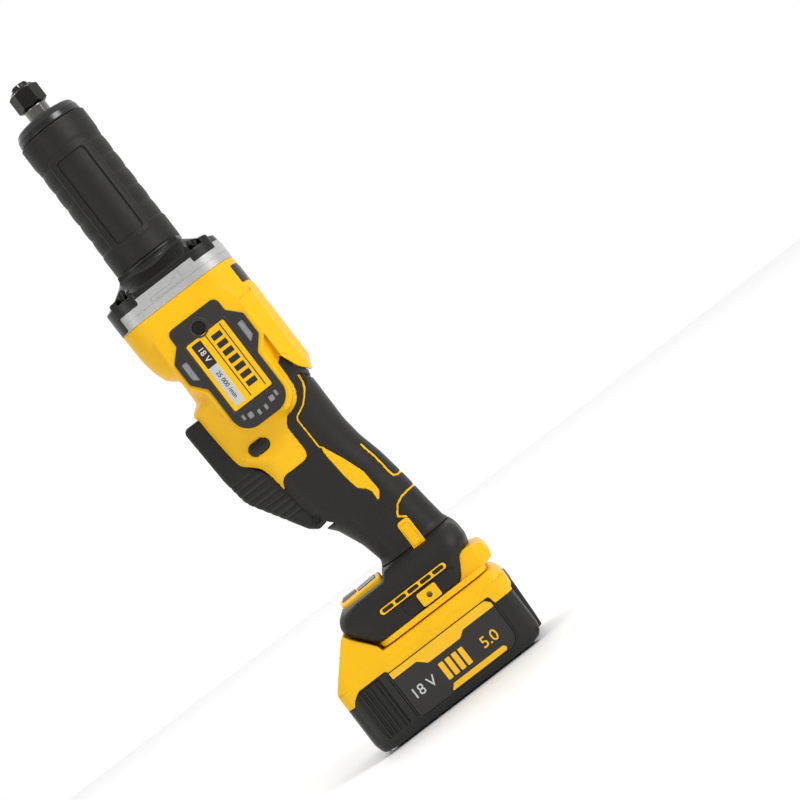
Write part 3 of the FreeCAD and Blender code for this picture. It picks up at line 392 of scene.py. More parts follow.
def finish(name, colour, roughness, spread=0.06, grain=0.0, grain_scale=2500.0, metallic=0.0,
           tint=0.10, stretch=None, dots=False, specular=0.5):
    """Moulded or machined finish: mottled colour, uneven gloss and a fine surface grain."""
    material = bpy.data.materials.new(name)
    material.use_nodes = True
    tree = material.node_tree
    shader = tree.nodes["Principled BSDF"]
    colours = (shade(colour, 1 - tint), colour, shade(colour, 1 + 0.6 * tint))
    mottle = ramp_node(tree, noise(tree, 55.0, 5.0), colours)
    tree.links.new(mottle, shader.inputs["Base Color"])
    gloss = range_node(tree, noise(tree, 900.0, 3.0, stretch), roughness - spread, roughness + spread)
    tree.links.new(gloss, shader.inputs["Roughness"])
    shader.inputs["Metallic"].default_value = metallic
    shader.inputs["Specular IOR Level"].default_value = specular
    if grain > 0:
        bump = tree.nodes.new("ShaderNodeBump")
        bump.inputs["Strength"].default_value = grain
        bump.inputs["Distance"].default_value = 0.00012
        if dots:
            height = texture(tree, "ShaderNodeTexVoronoi", "Distance", Scale=grain_scale,
                             Randomness=0.35)
        else:
            height = noise(tree, grain_scale, 2.0, stretch)
        tree.links.new(height, bump.inputs["Height"])
        tree.links.new(bump.outputs["Normal"], shader.inputs["Normal"])
    return material


YELLOW = (0.85, 0.465, 0.002)
# Colour, roughness, its spread, surface grain and the grain's scale; then what is special.
FINISHES = {
    "yellow_plastic": (YELLOW, 0.42, 0.05, 0.35, 2600.0, dict(tint=0.03, specular=0.27)),
    "black_plastic": ((0.010, 0.0094, 0.0086), 0.34, 0.07, 0.4, 2400.0, dict(specular=0.42)),
    "black_rubber": ((0.0125, 0.0115, 0.0105), 0.50, 0.08, 0.55, 1100.0,
                     dict(dots=True, specular=0.30)),
    "panel_black": ((0.017, 0.0145, 0.0115), 0.46, 0.06, 0.45, 2800.0, {}),
    "cap_black": ((0.010, 0.010, 0.010), 0.25, 0.05, 0.1, 2000.0, {}),
    "die_cast": ((0.50, 0.50, 0.49), 0.46, 0.08, 0.3, 1500.0, dict(metallic=0.6, tint=0.06)),
    "black_oxide": ((0.030, 0.029, 0.027), 0.36, 0.08, 0.25, 1800.0, dict(metallic=0.9, tint=0.2)),
    "bright_steel": ((0.60, 0.59, 0.57), 0.27, 0.07, 0.15, 1600.0,
                     dict(metallic=1.0, stretch=(1, 1, 6))),
    "zinc_steel": ((0.46, 0.46, 0.47), 0.34, 0.08, 0.2, 1500.0, dict(metallic=0.95)),
    "race_steel": ((0.66, 0.66, 0.66), 0.18, 0.05, 0.1, 1500.0, dict(metallic=1.0)),
    "laminated_steel": ((0.32, 0.32, 0.33), 0.45, 0.08, 0.5, 900.0,
                        dict(metallic=0.9, stretch=(0.05, 0.05, 2.2))),
    "copper_winding": ((0.60, 0.24, 0.09), 0.34, 0.06, 0.6, 700.0,
                       dict(metallic=0.85, stretch=(0.3, 0.3, 2.0))),
    "magnet": ((0.20, 0.20, 0.21), 0.5, 0.08, 0.3, 1500.0, dict(metallic=0.6)),
    "brass_insert": ((0.45, 0.33, 0.13), 0.34, 0.07, 0.3, 1500.0, dict(metallic=0.9)),
    "white_plastic": ((0.72, 0.72, 0.70), 0.42, 0.05, 0.2, 2200.0, dict(tint=0.04)),
    "grey_plastic": ((0.20, 0.20, 0.205), 0.46, 0.05, 0.3, 2200.0, {}),
    "board_green": ((0.02, 0.14, 0.05), 0.4, 0.06, 0.4, 900.0, dict(tint=0.25)),
    "lens": ((0.012, 0.012, 0.014), 0.22, 0.04, 0.05, 900.0, dict(specular=0.3)),
    "lead_insulation": ((0.30, 0.02, 0.015), 0.45, 0.05, 0.3, 1800.0, {}),
    "contact_copper": ((0.62, 0.34, 0.16), 0.3, 0.06, 0.2, 1500.0, dict(metallic=0.95)),
    "cell_wrap": ((0.05, 0.16, 0.30), 0.32, 0.05, 0.2, 1200.0, dict(tint=0.12)),
    "label": ((0.014, 0.013, 0.012), 0.34, 0.05, 0.1, 2200.0, {}),
    # Looks without a slot of their own.
    "print_white": ((0.66, 0.66, 0.66), 0.4, 0.04, 0.05, 2200.0, dict(tint=0.04)),
    "print_grey": ((0.50, 0.51, 0.52), 0.38, 0.04, 0.05, 2200.0, dict(tint=0.04)),
    "print_yellow": (YELLOW, 0.38, 0.04, 0.05, 2200.0, dict(tint=0.03)),
    "print_black": ((0.014, 0.013, 0.012), 0.4, 0.04, 0.05, 2200.0, {}),
    "dark_steel": ((0.24, 0.235, 0.225), 0.26, 0.07, 0.15, 1600.0,
                   dict(metallic=1.0, stretch=(1, 1, 6))),
}
MATERIALS = {name: finish(name, *row[:-1], **row[-1]) for name, row in FINISHES.items()}
DARKER = {"spindle": "dark_steel", "collet": "black_oxide", "flange_screws": "black_oxide"}

for subpart in frame["record"]["subparts"]:
    shown = frame["nodes"][subpart["node"]].data.materials
    shown.clear()
    shown.append(MATERIALS[DARKER.get(subpart["node"], subpart["material_slot"])])


# ---- body field
trigger_x = profile([
    (76, -3), (84, -1), (90, 0.5), (103, -2.5), (118, -9), (132, -21), (150, -24.5),
    (160, -25.3), (168, -25.9), (173.7, -26.8), (178.3, -30.8), (181.7, -34.2), (185, -34.8),
    (218, -34.8), (220, -36.3), (223, -34), (226, -29.3), (242, -29), (244.5, -31.5),
    (246.5, -35), (255, -38), (264, -39.3), (281, -39.5)], 1.0)
back_x = profile([
    (76, 44.6), (84, 44.2), (100, 42.2), (120, 40.2), (140, 37.2), (155, 33.6), (168, 32),
    (203, 32), (211, 38.2), (281, 38.2)], 1.6)
side_y = profile([
    (76, 20), (90, 19), (103, 18.5), (132, 18.5), (150, 19), (168, 20), (178, 21.5), (185, 23),
    (203, 26.5), (211, 30), (220, 32.5), (225, 34), (242, 35.5), (250, 36), (281, 36)], 2.0)
corner_r = profile([
    (76, 12), (90, 13), (150, 14), (178, 15), (203, 17), (214, 21), (225, 22), (258, 22),
    (270, 19), (281, 18)], 2.5)
crown = profile([(76, 0.8), (110, 1.3), (165, 1.3), (205, 0.0), (281, 0.0)], 4.0)
seat_blend = profile([(190, 6), (212, 6), (235, 1.6), (281, 1.6)], 2.0)

SEAT = Outline([
    (-20.4, 190.6, 12), (20.4, 190.6, 12), (20.4, 226, 3), (27, 234, 3), (27, 268, 3),
    (-27, 268, 3), (-27, 234, 3), (-20.4, 226, 3)])
HUMP = Outline([
    (26.6, 257.8, 3), (35.5, 258.5, 1), (36, 263.5, 0.5), (48, 263.5, 0), (48, 211, 0),
    (39.2, 211.3, 0.5), (34.8, 202.3, 0.6), (30, 208, 4), (26.6, 218, 1.5), (26.6, 224, 2)])
PADDLE_GAP = Outline([
    (-60, 222.2, 0), (-31, 219.8, 0), (-26, 182, 2), (-17, 170, 2), (-14.5, 150, 2),
    (-7, 141, 2), (-4, 131, 2), (-6, 123.2, 0), (-60, 123.2, 0)])
RUBBER = Outline([
    (26.2, 218.2, 0.3), (28.5, 213, 3), (31, 207, 6), (34.6, 202.8, 0.3), (62, 202.6, 0),
    (62, 85.6, 0), (-44, 85.6, 0), (-44, 124.0, 0), (-12, 125.5, 2), (-15, 131, 3),
    (-18, 140, 8), (-18.8, 150, 8), (-19.4, 154.4, 3), (-18.4, 156.6, 3), (-16.5, 160.4, 3),
    (-13.7, 162, 2), (0.3, 162.2, 2), (3.5, 163.6, 2), (4.7, 166.8, 3), (4.6, 182.6, 3),
    (5.4, 185.2, 2), (8.5, 189, 4), (13, 191.5, 6), (18.1, 195.3, 8), (21.5, 201, 6),
    (22.5, 206.7, 5), (22.9, 215.6, 0.6)], 0.3)
STRIPES = [
    Outline([(27.6, 203.5), (27.1, 198.5), (25.5, 195.3), (22.5, 191.5), (19.3, 188.3),
             (15.5, 186.4), (12.2, 184.8), (11.4, 182.9), (11.6, 172), (11.7, 163.6),
             (13.5, 161.6)], 0.3, 0.7),
    Outline([(27.9, 203.6, 0.3), (26.6, 204.4, 0.3), (26.2, 199, 2), (24.4, 194.6, 2),
             (21, 190.6, 1), (22.6, 190.6, 1), (26.4, 195, 2), (27.6, 198.4, 2)], 0.3),
    Outline([(12.9, 163.6, 0.5), (14.2, 160.8, 3), (19, 150, 8), (23.7, 137, 6),
             (24.4, 122.6, 4), (17.1, 113.9, 1), (19.9, 120.5, 3), (20, 124.5, 2),
             (18.6, 127.6, 2), (14.5, 131.5, 4), (13, 140, 6), (12, 150, 8),
             (11.6, 160, 2)], 0.3),
    Outline([(31.5, 150), (32.4, 145), (33.4, 140.6), (34.3, 134), (34.8, 128.1), (35.6, 124.7),
             (37.6, 123.5), (46, 123.8)], 0.3, 0.8),
    Outline([(46, 112.7), (37, 112.7), (31.9, 112.1), (27.4, 109.9), (24.2, 106),
             (23.4, 104.2), (27.4, 101.3)], 0.3, 0.8),
]
HANDLE_PLATE = Outline([
    (19.4, 83.2, 1.5), (27.9, 83.2, 1.5), (27.9, 101.3, 2.5), (19.4, 101.3, 2.5)], 0.3)
PALM_LINE = Outline([(28.5, 203.5), (31, 200.6), (34, 197.5), (40, 196.4)], 0.3, 0.55)
SCREW_PLACES = [(13.0, 189.0), (14.0, 150.0), (14.0, 122.0), (9.0, 98.0), (31.0, 97.0)]
LOCK = (-15.5, 184.4)           # lock button, (x, z)
PIVOT = (-15.0, 131.5)          # paddle pin
PANEL_SCREW = (-0.8, 258.7)
INSERT = (11.1, 58.8)           # accessory thread in the side of the foot
STRIP = (5.45, 67.0)            # middle of the vent strip
BEZEL_X = -20.25
HANDLE_BASE = 84.0
CASE_TOP = 280.92               # just under the adapter plate
RAIL_HALF = 27.0                # half widths: the pack's rails, the neck under them,
NECK_HALF = 22.0
ARM_ROOM = 8.6                  # and the way for the latch arm
SEAT_FACE = 35.8                # |y| of the flats under the side panels
PADDLE_ROOM = 15.4              # half width of the opening for the paddle


def shaft_section(x, y, z):
    """Rounded oblong section of the barrel and handle at a height."""
    x0 = trigger_x(z)
    x1 = back_x(z)
    middle = 0.5 * (x0 + x1)
    half = 0.5 * (x1 - x0)
    width = side_y(z) - crown(z) * np.minimum(((x - middle) / half) ** 2, 1.5)
    return rounded_rect(x - middle, y, half, width, corner_r(z))


def body(x, y, z):
    """Barrel, handle, panel seats and the raised back."""
    side = np.abs(y)
    d = shaft_section(x, y, z)
    seat = meet(SEAT(x, z), side - SEAT_FACE, 1.2)
    d = join(d, seat, seat_blend(z))
    facets = np.maximum(0.948 * x + 0.319 * side - 42.27, 0.711 * x + 0.703 * side - 44.22)
    top = meet(meet(x - 39.15, facets, 0.4), side - 36.2, 0.4)
    hump = meet(HUMP(x, z), top, 0.5)
    hump = meet(hump, 24 - x, 0.5)
    d = join(d, hump, 0.5)
    dish = np.sqrt(((x - LOCK[0]) / 1.25) ** 2 + (side - 43.6) ** 2 + (z - LOCK[1]) ** 2) - 22.0
    return np.where(side > 15, carve(d, dish, 4.0), d)


foot_x0 = profile([
    (50, -28.6), (53.2, -29.1), (56.9, -33), (65.4, -39.9), (70, -42.0), (72.8, -42.0),
    (76.2, -40.5), (80.8, -36.3), (83.6, -33), (86, -31)], 0.8)
foot_x1 = profile([
    (50, 29.5), (53.2, 30.8), (55.1, 34.2), (59.7, 37.6), (65.4, 41.6), (68.3, 45.4),
    (72.2, 47.5), (79.7, 47.2), (84, 45.6)], 0.8)
foot_y = profile([(50, 34.8), (68, 35), (72, 34.8), (76, 33.8), (80.5, 30.8), (84, 27)], 1.2)
foot_r = profile([(50, 9), (60, 11), (72, 13), (80, 12), (84, 10)], 1.5)


def foot(x, y, z):
    """Flared foot, lower in front of the handle."""
    x0 = foot_x0(z)
    x1 = foot_x1(z)
    plan = rounded_rect(x - 0.5 * (x0 + x1), y, 0.5 * (x1 - x0), foot_y(z), foot_r(z))
    top = 84.7 - 4.6 / (1 + np.exp((x + 4.5) * 1.1))
    return meet(meet(0.86 * plan, 0.9 * (z - top), 2.2), 53.3 - z, 0.5)


TAIL = Outline([
    (12, 50.2, 0), (46, 50.2, 0.6), (46, 52.6, 0.6), (52.8, 54.2, 1.5), (54.2, 59.5, 3),
    (52.2, 64.8, 3), (43.5, 67.2, 2), (12, 67.2, 0)])
RIM = Outline([
    (-27.6, 50.0, 0.4), (45.6, 50.0, 0.4), (45.6, 53.6, 0.4), (-29.9, 53.6, 0.4)], 0.3)


def tail(x, y, z):
    """Yellow bumper behind the foot."""
    return meet(TAIL(x, z), rounded_rect(x - 20, y, 34.2, 31, 10), 1.0)


def rim(x, y, z):
    """Yellow lip round the underside of the foot."""
    return meet(RIM(x, z), rounded_rect(x - 9, y, 38, 34.6, 10), 0.5)


def overmould(x, y, z):
    """Outer face of the rubber on the handle, flowing into the foot."""
    return join(foot(x, y, z), shaft_section(x, y, z) - 0.7, 5.0)


def foot_core(x, y, z):
    """Yellow plastic under the cover of the foot."""
    return join(0.86 * foot(x, y, z) + 1.6, shaft_section(x, y, z) + 1.0, 4.0)


def rubber_plan(x, z):
    """Plan of the rubber on the side view, without the stripes left open in it."""
    plan = RUBBER(x, z)
    for stripe in STRIPES:
        plan = np.maximum(plan, -stripe(x, z))
    return plan


def battery_slot(x, y, z):
    """Room in the foot for the pack's rails and its latch arm, open to the front."""
    front, stop = -70, 38.2
    floor, roof = 55.6, 64.5
    wide = (-RAIL_HALF - 0.4, RAIL_HALF + 0.4)
    upper = box_field(x, y, z, (-30.4, stop), wide, (floor, roof), 0.3)
    mouth = box_field(x, y, z, (front, stop), wide, (floor, 60.3), 0.3)
    narrow = (-NECK_HALF - 0.4, NECK_HALF + 0.4)
    neck = box_field(x, y, z, (front, stop), narrow, (35, floor + 1), 0.3)
    notch = box_field(x, y, z, (front, -29.5), (-ARM_ROOM, ARM_ROOM), (floor, roof), 0.3)
    return np.minimum(np.minimum(upper, mouth), np.minimum(neck, notch))


def bezel_pocket(x, y, z, half_x):
    return np.maximum(rounded_rect(x - BEZEL_X, y, half_x, 13.2, 4.2), 80.2 - z)


def round_at(x, z, place):
    """Distance from an axis along Y."""
    return np.hypot(x - place[0], z - place[1])


def screw_wells(x, y, z, radius):
    """Wells of the clamshell screws, which go in from the right."""
    nearest = np.minimum.reduce([round_at(x, z, place) for place in SCREW_PLACES])
    return np.maximum(nearest - radius, 12 - y)


def stadium(a, b, a_mid, b_mid, half_a, half_b):
    """Slot with round ends."""
    return rounded_rect(a - a_mid, b - b_mid, half_a, half_b, 0.98 * min(half_a, half_b))


LOBE_VENT = Outline([
    (17.9, 234.0, 0.5), (21.8, 237.2, 0.5), (21.8, 247.8, 0.5), (17.9, 247.8, 0.5)], 0.2)
REAR_VENTS = [(11.7, 202.9, 1.1), (7.9, 201.9, 1.8), (2.5, 199.8, 1.2), (-2.3, 199.8, 1.2),
              (-7.3, 201.3, 1.8), (-11.5, 202.6, 1.1)]


def vents(x, z):
    """Plan of the vents in a side panel."""
    plan = np.minimum(LOBE_VENT(x, z), LOBE_VENT(-x, z))
    for a, b, half in REAR_VENTS:
        plan = np.minimum(plan, rounded_rect(x - a, z - b, half, 1.9, 0.6))
    return plan


# ---- clamshell halves
def housing(x, y, z, screws):
    """Whole clamshell, hollow, with every opening in it."""
    side = np.abs(y)
    d = body(x, y, z)
    raised = np.clip(-RUBBER(x, z) / 1.2, 0, 1) * 0.35
    upper = meet(d - raised, HANDLE_BASE - z, 0.2)
    upper = cut(upper, rubber_plan(x, z) - 0.08, -(d + 1.2), 0.25)
    core = np.maximum(foot_core(x, y, z), z - HANDLE_BASE - 2)
    solid = np.minimum(np.minimum(upper, core), tail(x, y, z))
    solid = join(solid, rim(x, y, z), 0.3)
    inside = np.maximum(d + 2.6, HANDLE_BASE + 4 - z)
    bay = box_field(x, y, z, (-34, 42), (-30, 30), (68, 81), 6)
    inside = np.minimum(inside, np.maximum(bay, core + 1.6))
    inside = np.minimum(inside, np.maximum(shaft_section(x, y, z) + 4.0, slab(z, 70, 92)))
    solid = carve(solid, inside, 0.3)
    solid = carve(solid, battery_slot(x, y, z), 0.3)
    solid = carve(solid, meet(PADDLE_GAP(x, z), side - PADDLE_ROOM, 0.3), 0.4)
    solid = cut(solid, stadium(x, z, *LOCK, 6.6, 3.95), 12 - side, 0.4)
    solid = cut(solid, vents(x, z) - 0.1, 25 - side, 0.3)
    solid = cut(solid, bezel_pocket(x, y, z, 14.4), z - 95, 0.2)
    solid = cut(solid, round_at(x, z, INSERT) - 3.05, 28 - side, 0.3)
    solid = cut(solid, round_at(x, z, PANEL_SCREW) - 5.2, 32 - side, 0.3)
    solid = cut(solid, round_at(x, z, PIVOT) - 2.05, side - 17.4, 0.1)
    if screws:
        solid = carve(solid, screw_wells(x, y, z, 3.2), 0.4)
    return meet(solid, z - CASE_TOP, 0.35)


for tag, sign in SIDES:
    reach = sorted((-sign, 38 * sign))
    piece("clamshell_" + tag, half(housing, sign, 0.3), (-45, reach[0], 49), (56, reach[1], 282),
          STEP, "yellow_plastic", "housing_" + tag)


# ---- rubber and panels
def rubber(x, y, z, screws):
    """Overmould of the handle, with its stripes left open."""
    side = np.abs(y)
    outer = overmould(x, y, z)
    outer = cut(outer, PALM_LINE(x, z), -(outer + 0.7), 0.25)
    d = meet(outer, rubber_plan(x, z), 0.55)
    d = meet(d, -(body(x, y, z) + 1.1), 0.1)
    d = meet(d, 85.7 - z, 0.25)
    d = carve(d, meet(PADDLE_GAP(x, z), side - PADDLE_ROOM, 0.3), 0.4)
    d = cut(d, HUMP(x, z) - 0.15, 24 - x, 0.3)
    d = cut(d, HANDLE_PLATE(x, z), 10 - side, 0.3)
    if screws:
        d = carve(d, screw_wells(x, y, z, 3.3), 0.4)
    return d


for tag, sign in SIDES:
    reach = sorted((-sign, 30 * sign))
    piece("grip_rubber_" + tag, half(rubber, sign, 0.2), (-32, reach[0], 84), (50, reach[1], 220),
          STEP, "black_rubber", "rubber_grip_" + tag)


def cover_left(x, y, z):
    """Rubber cover of the foot, left of the seam."""
    d = meet(overmould(x, y, z), 0.05 - foot_core(x, y, z), 0.1)
    d = meet(meet(d, z - 85.6, 0.25), 53.75 - z, 0.4)
    d = carve(d, tail(x, y, z) - 0.1, 0.3)
    d = cut(d, battery_slot(x, y, z) - 0.1, z - 66, 0.3)
    d = carve(d, bezel_pocket(x, y, z, 14.5), 0.4)
    d = cut(d, HANDLE_PLATE(x, z), y + 10, 0.3)
    pocket = rounded_rect(x - 13, z - 59.3, 19, 4.9, 3.5)
    d = carve(d, meet(pocket, y + 34.0, 0.2), 0.3)
    d = cut(d, stadium(x, z, *STRIP, 23.3, 2.05), y + 30, 0.3)
    d = cut(d, round_at(x, z, INSERT) - 3.05, y + 28, 0.3)
    return meet(d, y + SEAM, 0.2)


both_sides("foot_cover_skin", cover_left, (-46, -38, 52), (52, 1, 90),
           "black_rubber", "foot_cover_SIDE", step=STEP)


def handle_plate(x, y, z):
    """Small plate with a raised outline at the base of the handle."""
    outer = overmould(x, y, z)
    d = meet(HANDLE_PLATE(x, z) + 0.08, slab(outer, -1.3, 0.1), 0.25)
    ring = np.abs(rounded_rect(x - 23.7, z - 92.2, 2.9, 7.0, 1.5)) - 0.35
    return join(d, np.maximum(ring, slab(outer, -1.0, 0.45)), 0.2)


both_sides("handle_plate", handle_plate, (18, -26, 82), (29.5, -12, 102.5), "yellow_plastic")


PANEL_FACE = 37.2               # |y|
NAMEPLATE_Z = 231.25
PANEL = Outline([
    (-17.6, 194, 11), (17.6, 194, 11), (17.6, 227.3, 2), (24.6, 235.6, 2), (24.6, 250.2, 2),
    (17.3, 257.8, 2), (17.3, 267.2, 4), (-17.3, 267.2, 4), (-17.3, 257.8, 2),
    (-24.6, 250.2, 2), (-24.6, 235.6, 2), (-17.6, 227.3, 2)], 0.3)


def panel(x, y, z):
    """Left side panel with a framed pocket for the nameplate, a screw collar and vents."""
    d = meet(PANEL(x, z), slab(y, -PANEL_FACE, -35.0), 0.55)
    pocket = rounded_rect(x, z - NAMEPLATE_Z, 13.5, 23.35, 1.4)
    d = cut(d, pocket, y + 36.35, 0.25)
    rail = np.abs(rounded_rect(x, z - NAMEPLATE_Z, 14.6, 24.4, 2.2)) - 0.35
    d = join(d, np.maximum(rail, np.abs(y + PANEL_FACE - 0.05) - 0.22), 0.3)
    ring = round_at(x, z, PANEL_SCREW)
    d = cut(d, ring - 3.8, y + 30, 0.5)
    arc = np.maximum(np.abs(ring - 5.3) - 0.45, -y - 37.45)
    d = join(d, np.maximum(arc, y + 36), 0.3)
    return cut(d, vents(x, z), y + 30, 0.35)


both_sides("panel", panel, (-26, -38, 192), (26, -34.5, 269), "panel_black", "side_panel_SIDE")


def vent_screen(x, y, z):
    """Metal mesh backing seen through the vents of a side panel."""
    return meet(vents(x, z), slab(y, -35.9, -34.9), 0.1)


both_sides("vent_screen", vent_screen, (-22.5, -36.5, 196), (22.5, -34, 249), "zinc_steel")


def rating_patch(x, y, z):
    """Small printed patch on the shoulder behind the adapter plate."""
    plan = rounded_rect(x - 36.7, z - 270.5, 2.1, 6.0, 0.6)
    return meet(plan, slab(body(x, y, z), -0.8, 0.18), 0.1)


both_sides("rating_patch", rating_patch, (34, -32, 263), (39.5, -8, 278),
           "label", look="print_black")


def ejector_mark(x, y, z):
    r = np.hypot(x + 27.2, z - 184.4)
    d = meet(r - 2.0, slab(body(x, y, z), -0.6, 0.12), 0.1)
    return cut(d, np.abs(r - 1.35) - 0.22, -(body(x, y, z) + 0.25), 0.05)


piece("ejector_mark_left", ejector_mark, (-30, -26, 181.5), (-24.5, -12, 187.5), 0.3,
      "yellow_plastic")


# ---- nose
FLANGE_SCREW = 26.0             # |x| and |y| of the four screws
FLANGE_BASE = 293.6


def nose_flange(x, y, z):
    """Die-cast nose: square flange, four bosses, tapering neck with rings."""
    r = np.hypot(x, y)
    plan = rounded_rect(x + 0.7, y, 38.6, 35.9, 18)
    taper = np.interp(z, [293.5, 297.2, 299.5, 302.8, 306.2, 308, 312],
                      [0, 0.5, 5.0, 10.8, 15.6, 17.3, 18.0])
    base = 0.66 * (plan + taper)
    base = meet(base, slab(z, FLANGE_BASE, 311), 0.6)
    side = np.abs(y)
    lug = rounded_rect(np.abs(x) - 27.2, z - 294.8, 7.4, 4.9, 1.2)
    lug = meet(meet(lug, slab(plan, -2.5, 0.5), 0.5), 20 - side, 0.3)
    base = join(base, lug, 0.5)
    neck_r = 21.9 - 0.7 * (np.exp(-((z - 303.6) / 0.6) ** 2) + np.exp(-((z - 308.6) / 0.6) ** 2))
    neck = meet(0.8 * (r - neck_r), slab(z, 298, 311), 0.4)
    d = join(base, neck, 1.5)
    for sx in (-1, 1):
        for sy in (-1, 1):
            from_screw = np.hypot(x - FLANGE_SCREW * sx, y - FLANGE_SCREW * sy)
            d = join(d, meet(from_screw - 6.4, slab(z, FLANGE_BASE, 300.3), 0.7), 1.2)
            gate = np.maximum(np.abs(x - FLANGE_SCREW * sx) - 3.8, FLANGE_SCREW - y * sy)
            d = cut(d, np.minimum(from_screw - 3.8, gate), 296.6 - z, 0.3)
    skirt = meet(meet(slab(plan, -3.0, 0.45), x + 33.6, 0.3), slab(z, 281.4, 297), 0.6)
    d = join(d, skirt, 0.4)
    d = np.minimum(d, np.maximum(r - 18.3, slab(z, 309, 402)))
    bore_r = np.where(z < 306, 11.6, np.where(z < 313, 11.0, np.where(z < 394, 12.2, 14.0)))
    return carve(d, r - bore_r, 0.3)


piece("nose_casting", nose_flange, (-41, -38, 281), (39, 38, 404.5), STEP,
      "black_plastic", "nose_housing")


def nose_sleeve(x, y, z):
    """Rubber sleeve: rear and front bands, rounded ribs and a framed pad on each side."""
    r = np.hypot(x, y)
    side = np.abs(y)
    wave = np.abs(np.cos((z - 332.3) * math.pi / 11.7))
    ribs = 20.9 + 0.8 * wave ** 0.4
    mid = (1 / (1 + np.exp(-(z - 327) * 3))) * (1 / (1 + np.exp((z - 390) * 3)))
    d = r - (22.1 * (1 - mid) + ribs * mid)
    pad = meet(rounded_rect(x, z - 355.9, 13.8, 33.7, 6), r - 22.35, 0.7)
    d = join(d, np.maximum(pad, 5 - side), 0.4)
    recess = np.maximum(rounded_rect(x, z - 354.9, 9.7, 29.1, 2), 5 - side)
    d = carve(d, meet(recess, 21.0 - r, 0.3), 0.5)
    d = meet(d, slab(z, 311.0, 404.2), 0.7)
    return meet(d, 18.35 - r, 0.2)


piece("nose_sleeve", nose_sleeve, (-23, -23, 310), (23, 23, 405), FINE + 0.1,
      "black_rubber", "nose_grip")


def nose_cap(x, y, z):
    """Domed end cap with a groove round the spindle."""
    r = np.hypot(x, y)
    rim_r = np.interp(z, [404.4, 408.6, 411.4, 413.0], [21.2, 20.7, 19.5, 18.4])
    d = meet(0.85 * (r - rim_r), slab(z, 404.45, 412.95), 1.0)
    d = cut(d, r - 16.5, 412.35 - z, 0.2)
    d = cut(d, slab(r, 10.8, 14.6), 411.6 - z, 0.3)
    d = np.minimum(d, np.maximum(slab(r, 10.0, 13.9), slab(z, 402.0, 405)))
    return meet(d, 8.05 - r, 0.4)


piece("nose_end_cap", nose_cap, (-22, -22, 401.5), (22, 22, 413.5), FINE, "cap_black", "nose_cap")


# ---- paddle and buttons
PADDLE = Outline([
    (-27.5, 218.3, 0.5), (-45.7, 218.3, 3.5), (-44.3, 181, 8), (-42, 163, 20),
    (-22, 129.5, 6), (-17, 125.6, 3), (-9.2, 127, 3), (-11, 140, 2), (-17, 150, 3),
    (-19.6, 168, 3), (-27.5, 180, 3)])
PADDLE_INSIDE = Outline([
    (-10, 216, 0), (-43.2, 216, 2.5), (-41.8, 181, 5), (-39.5, 164, 17), (-25.5, 139, 2),
    (-4, 139, 0)])


def paddle(x, y, z):
    """Hollow paddle with cross ribs, a presser for the switch and its pivot."""
    side = np.abs(y)
    d = meet(PADDLE(x, z), side - 14.5, 1.6)
    ribs = 0.25 * np.clip(np.cos((z - 150) * 2 * math.pi / 4.2), 0, 1)
    face = np.clip((-x - 0.25 * (z - 120) - 10) / 6, 0, 1) * (z > 141) * (z < 176)
    d = d + ribs * face
    d = cut(d, PADDLE_INSIDE(x, z), side - 12.1, 0.4)
    d = np.minimum(d, box_field(x, y, z, (-41.5, -26.5), (-3, 3), (161, 169), 0.4))
    d = carve(d, round_at(x, z, PIVOT) - 2.06, 0.15)
    return carve(d, box_field(x, y, z, (-22, 3), (-5.5, 5.5), (118, 139.5), 0.3), 0.4)


piece("paddle", paddle, (-47, -16, 124), (-8, 16, 220), STEP,
      "black_plastic", "trigger_paddle", "paddle")


def lock_key(x, y, z):
    plan = stadium(x, z, *LOCK, 6.25, 3.55)
    dome_left = y + 23.2 - 0.012 * ((x - LOCK[0]) ** 2 + 2 * (z - LOCK[1]) ** 2)
    d = meet(plan, -dome_left, 0.8)
    return meet(d, y - 18.2, 0.6)


piece("lock_key", lock_key, (-23, -24, 180), (-8, 19, 189), FINE,
      "black_plastic", "lock_button", "lock_button")


# ---- foot details
def vent_frame(x, y, z):
    d = meet(stadium(x, z, *STRIP, 23.2, 1.95), slab(y, -35.55, -34.1), 0.25)
    for i in range(5):
        a = STRIP[0] + (i - 2) * 8.9
        d = cut(d, stadium(x, z, a, STRIP[1], 3.75, 1.2), y + 34.5, 0.2)
    return d


both_sides("vent_frame", vent_frame, (-19, -36, 64.5), (30, -33.8, 69.5),
           "yellow_plastic", "vent_strips", step=0.7 * FINE)


# Black sheet behind the vent frame, showing at the floor of each slot: painted shade standing in for
# the dark inside of the foot.
def vent_painted_shade(x, y, z):
    return meet(stadium(x, z, *STRIP, 22.9, 1.65), slab(y, -34.7, -33.6), 0.1)


# Painted shade in the foot's vent slots, on both sides.
both_sides("vent_painted_shade", vent_painted_shade, (-19, -35.5, 64.5), (30, -33, 69.5), "black_plastic")


def insert_plate(x, y, z):
    d = meet(rounded_rect(x - 10.85, z - 58.8, 6.5, 4.3, 1.2), slab(y, -35.5, -33.8), 0.3)
    return carve(d, round_at(x, z, INSERT) - 1.75, 0.3)


both_sides("insert_plate", insert_plate, (3.5, -36, 54), (18.5, -33, 64), "yellow_plastic")


def bezel_top(x, y):
    return 85.3 - 2.9 * (y / 13.0) ** 2 - 0.9 * np.clip((-12 - x) / 22, 0, 1)


def bezel(x, y, z):
    """Raised frame round the display and the speed key."""
    plan = rounded_rect(x - BEZEL_X, y, 14.2, 12.9, 4)
    d = meet(meet(plan, 0.9 * (z - bezel_top(x, y)), 0.7), 77.8 - z, 0.3)
    d = carve(d, box_field(x, y, z, (-21.25, -8.75), (-9.25, 9.25), (83.1, 90), 0.6), 0.3)
    d = carve(d, box_field(x, y, z, (-32.5, -22.5), (-7.5, 7.5), (80.9, 90), 0.6), 0.3)
    return carve(d, box_field(x, y, z, (-32.8, -8), (-10, 10), (70, 80.6), 0.4), 0.3)


piece("display_bezel", bezel, (-35, -13.5, 77), (-5.5, 13.5, 86), FINE,
      "yellow_plastic", "control_bezel")


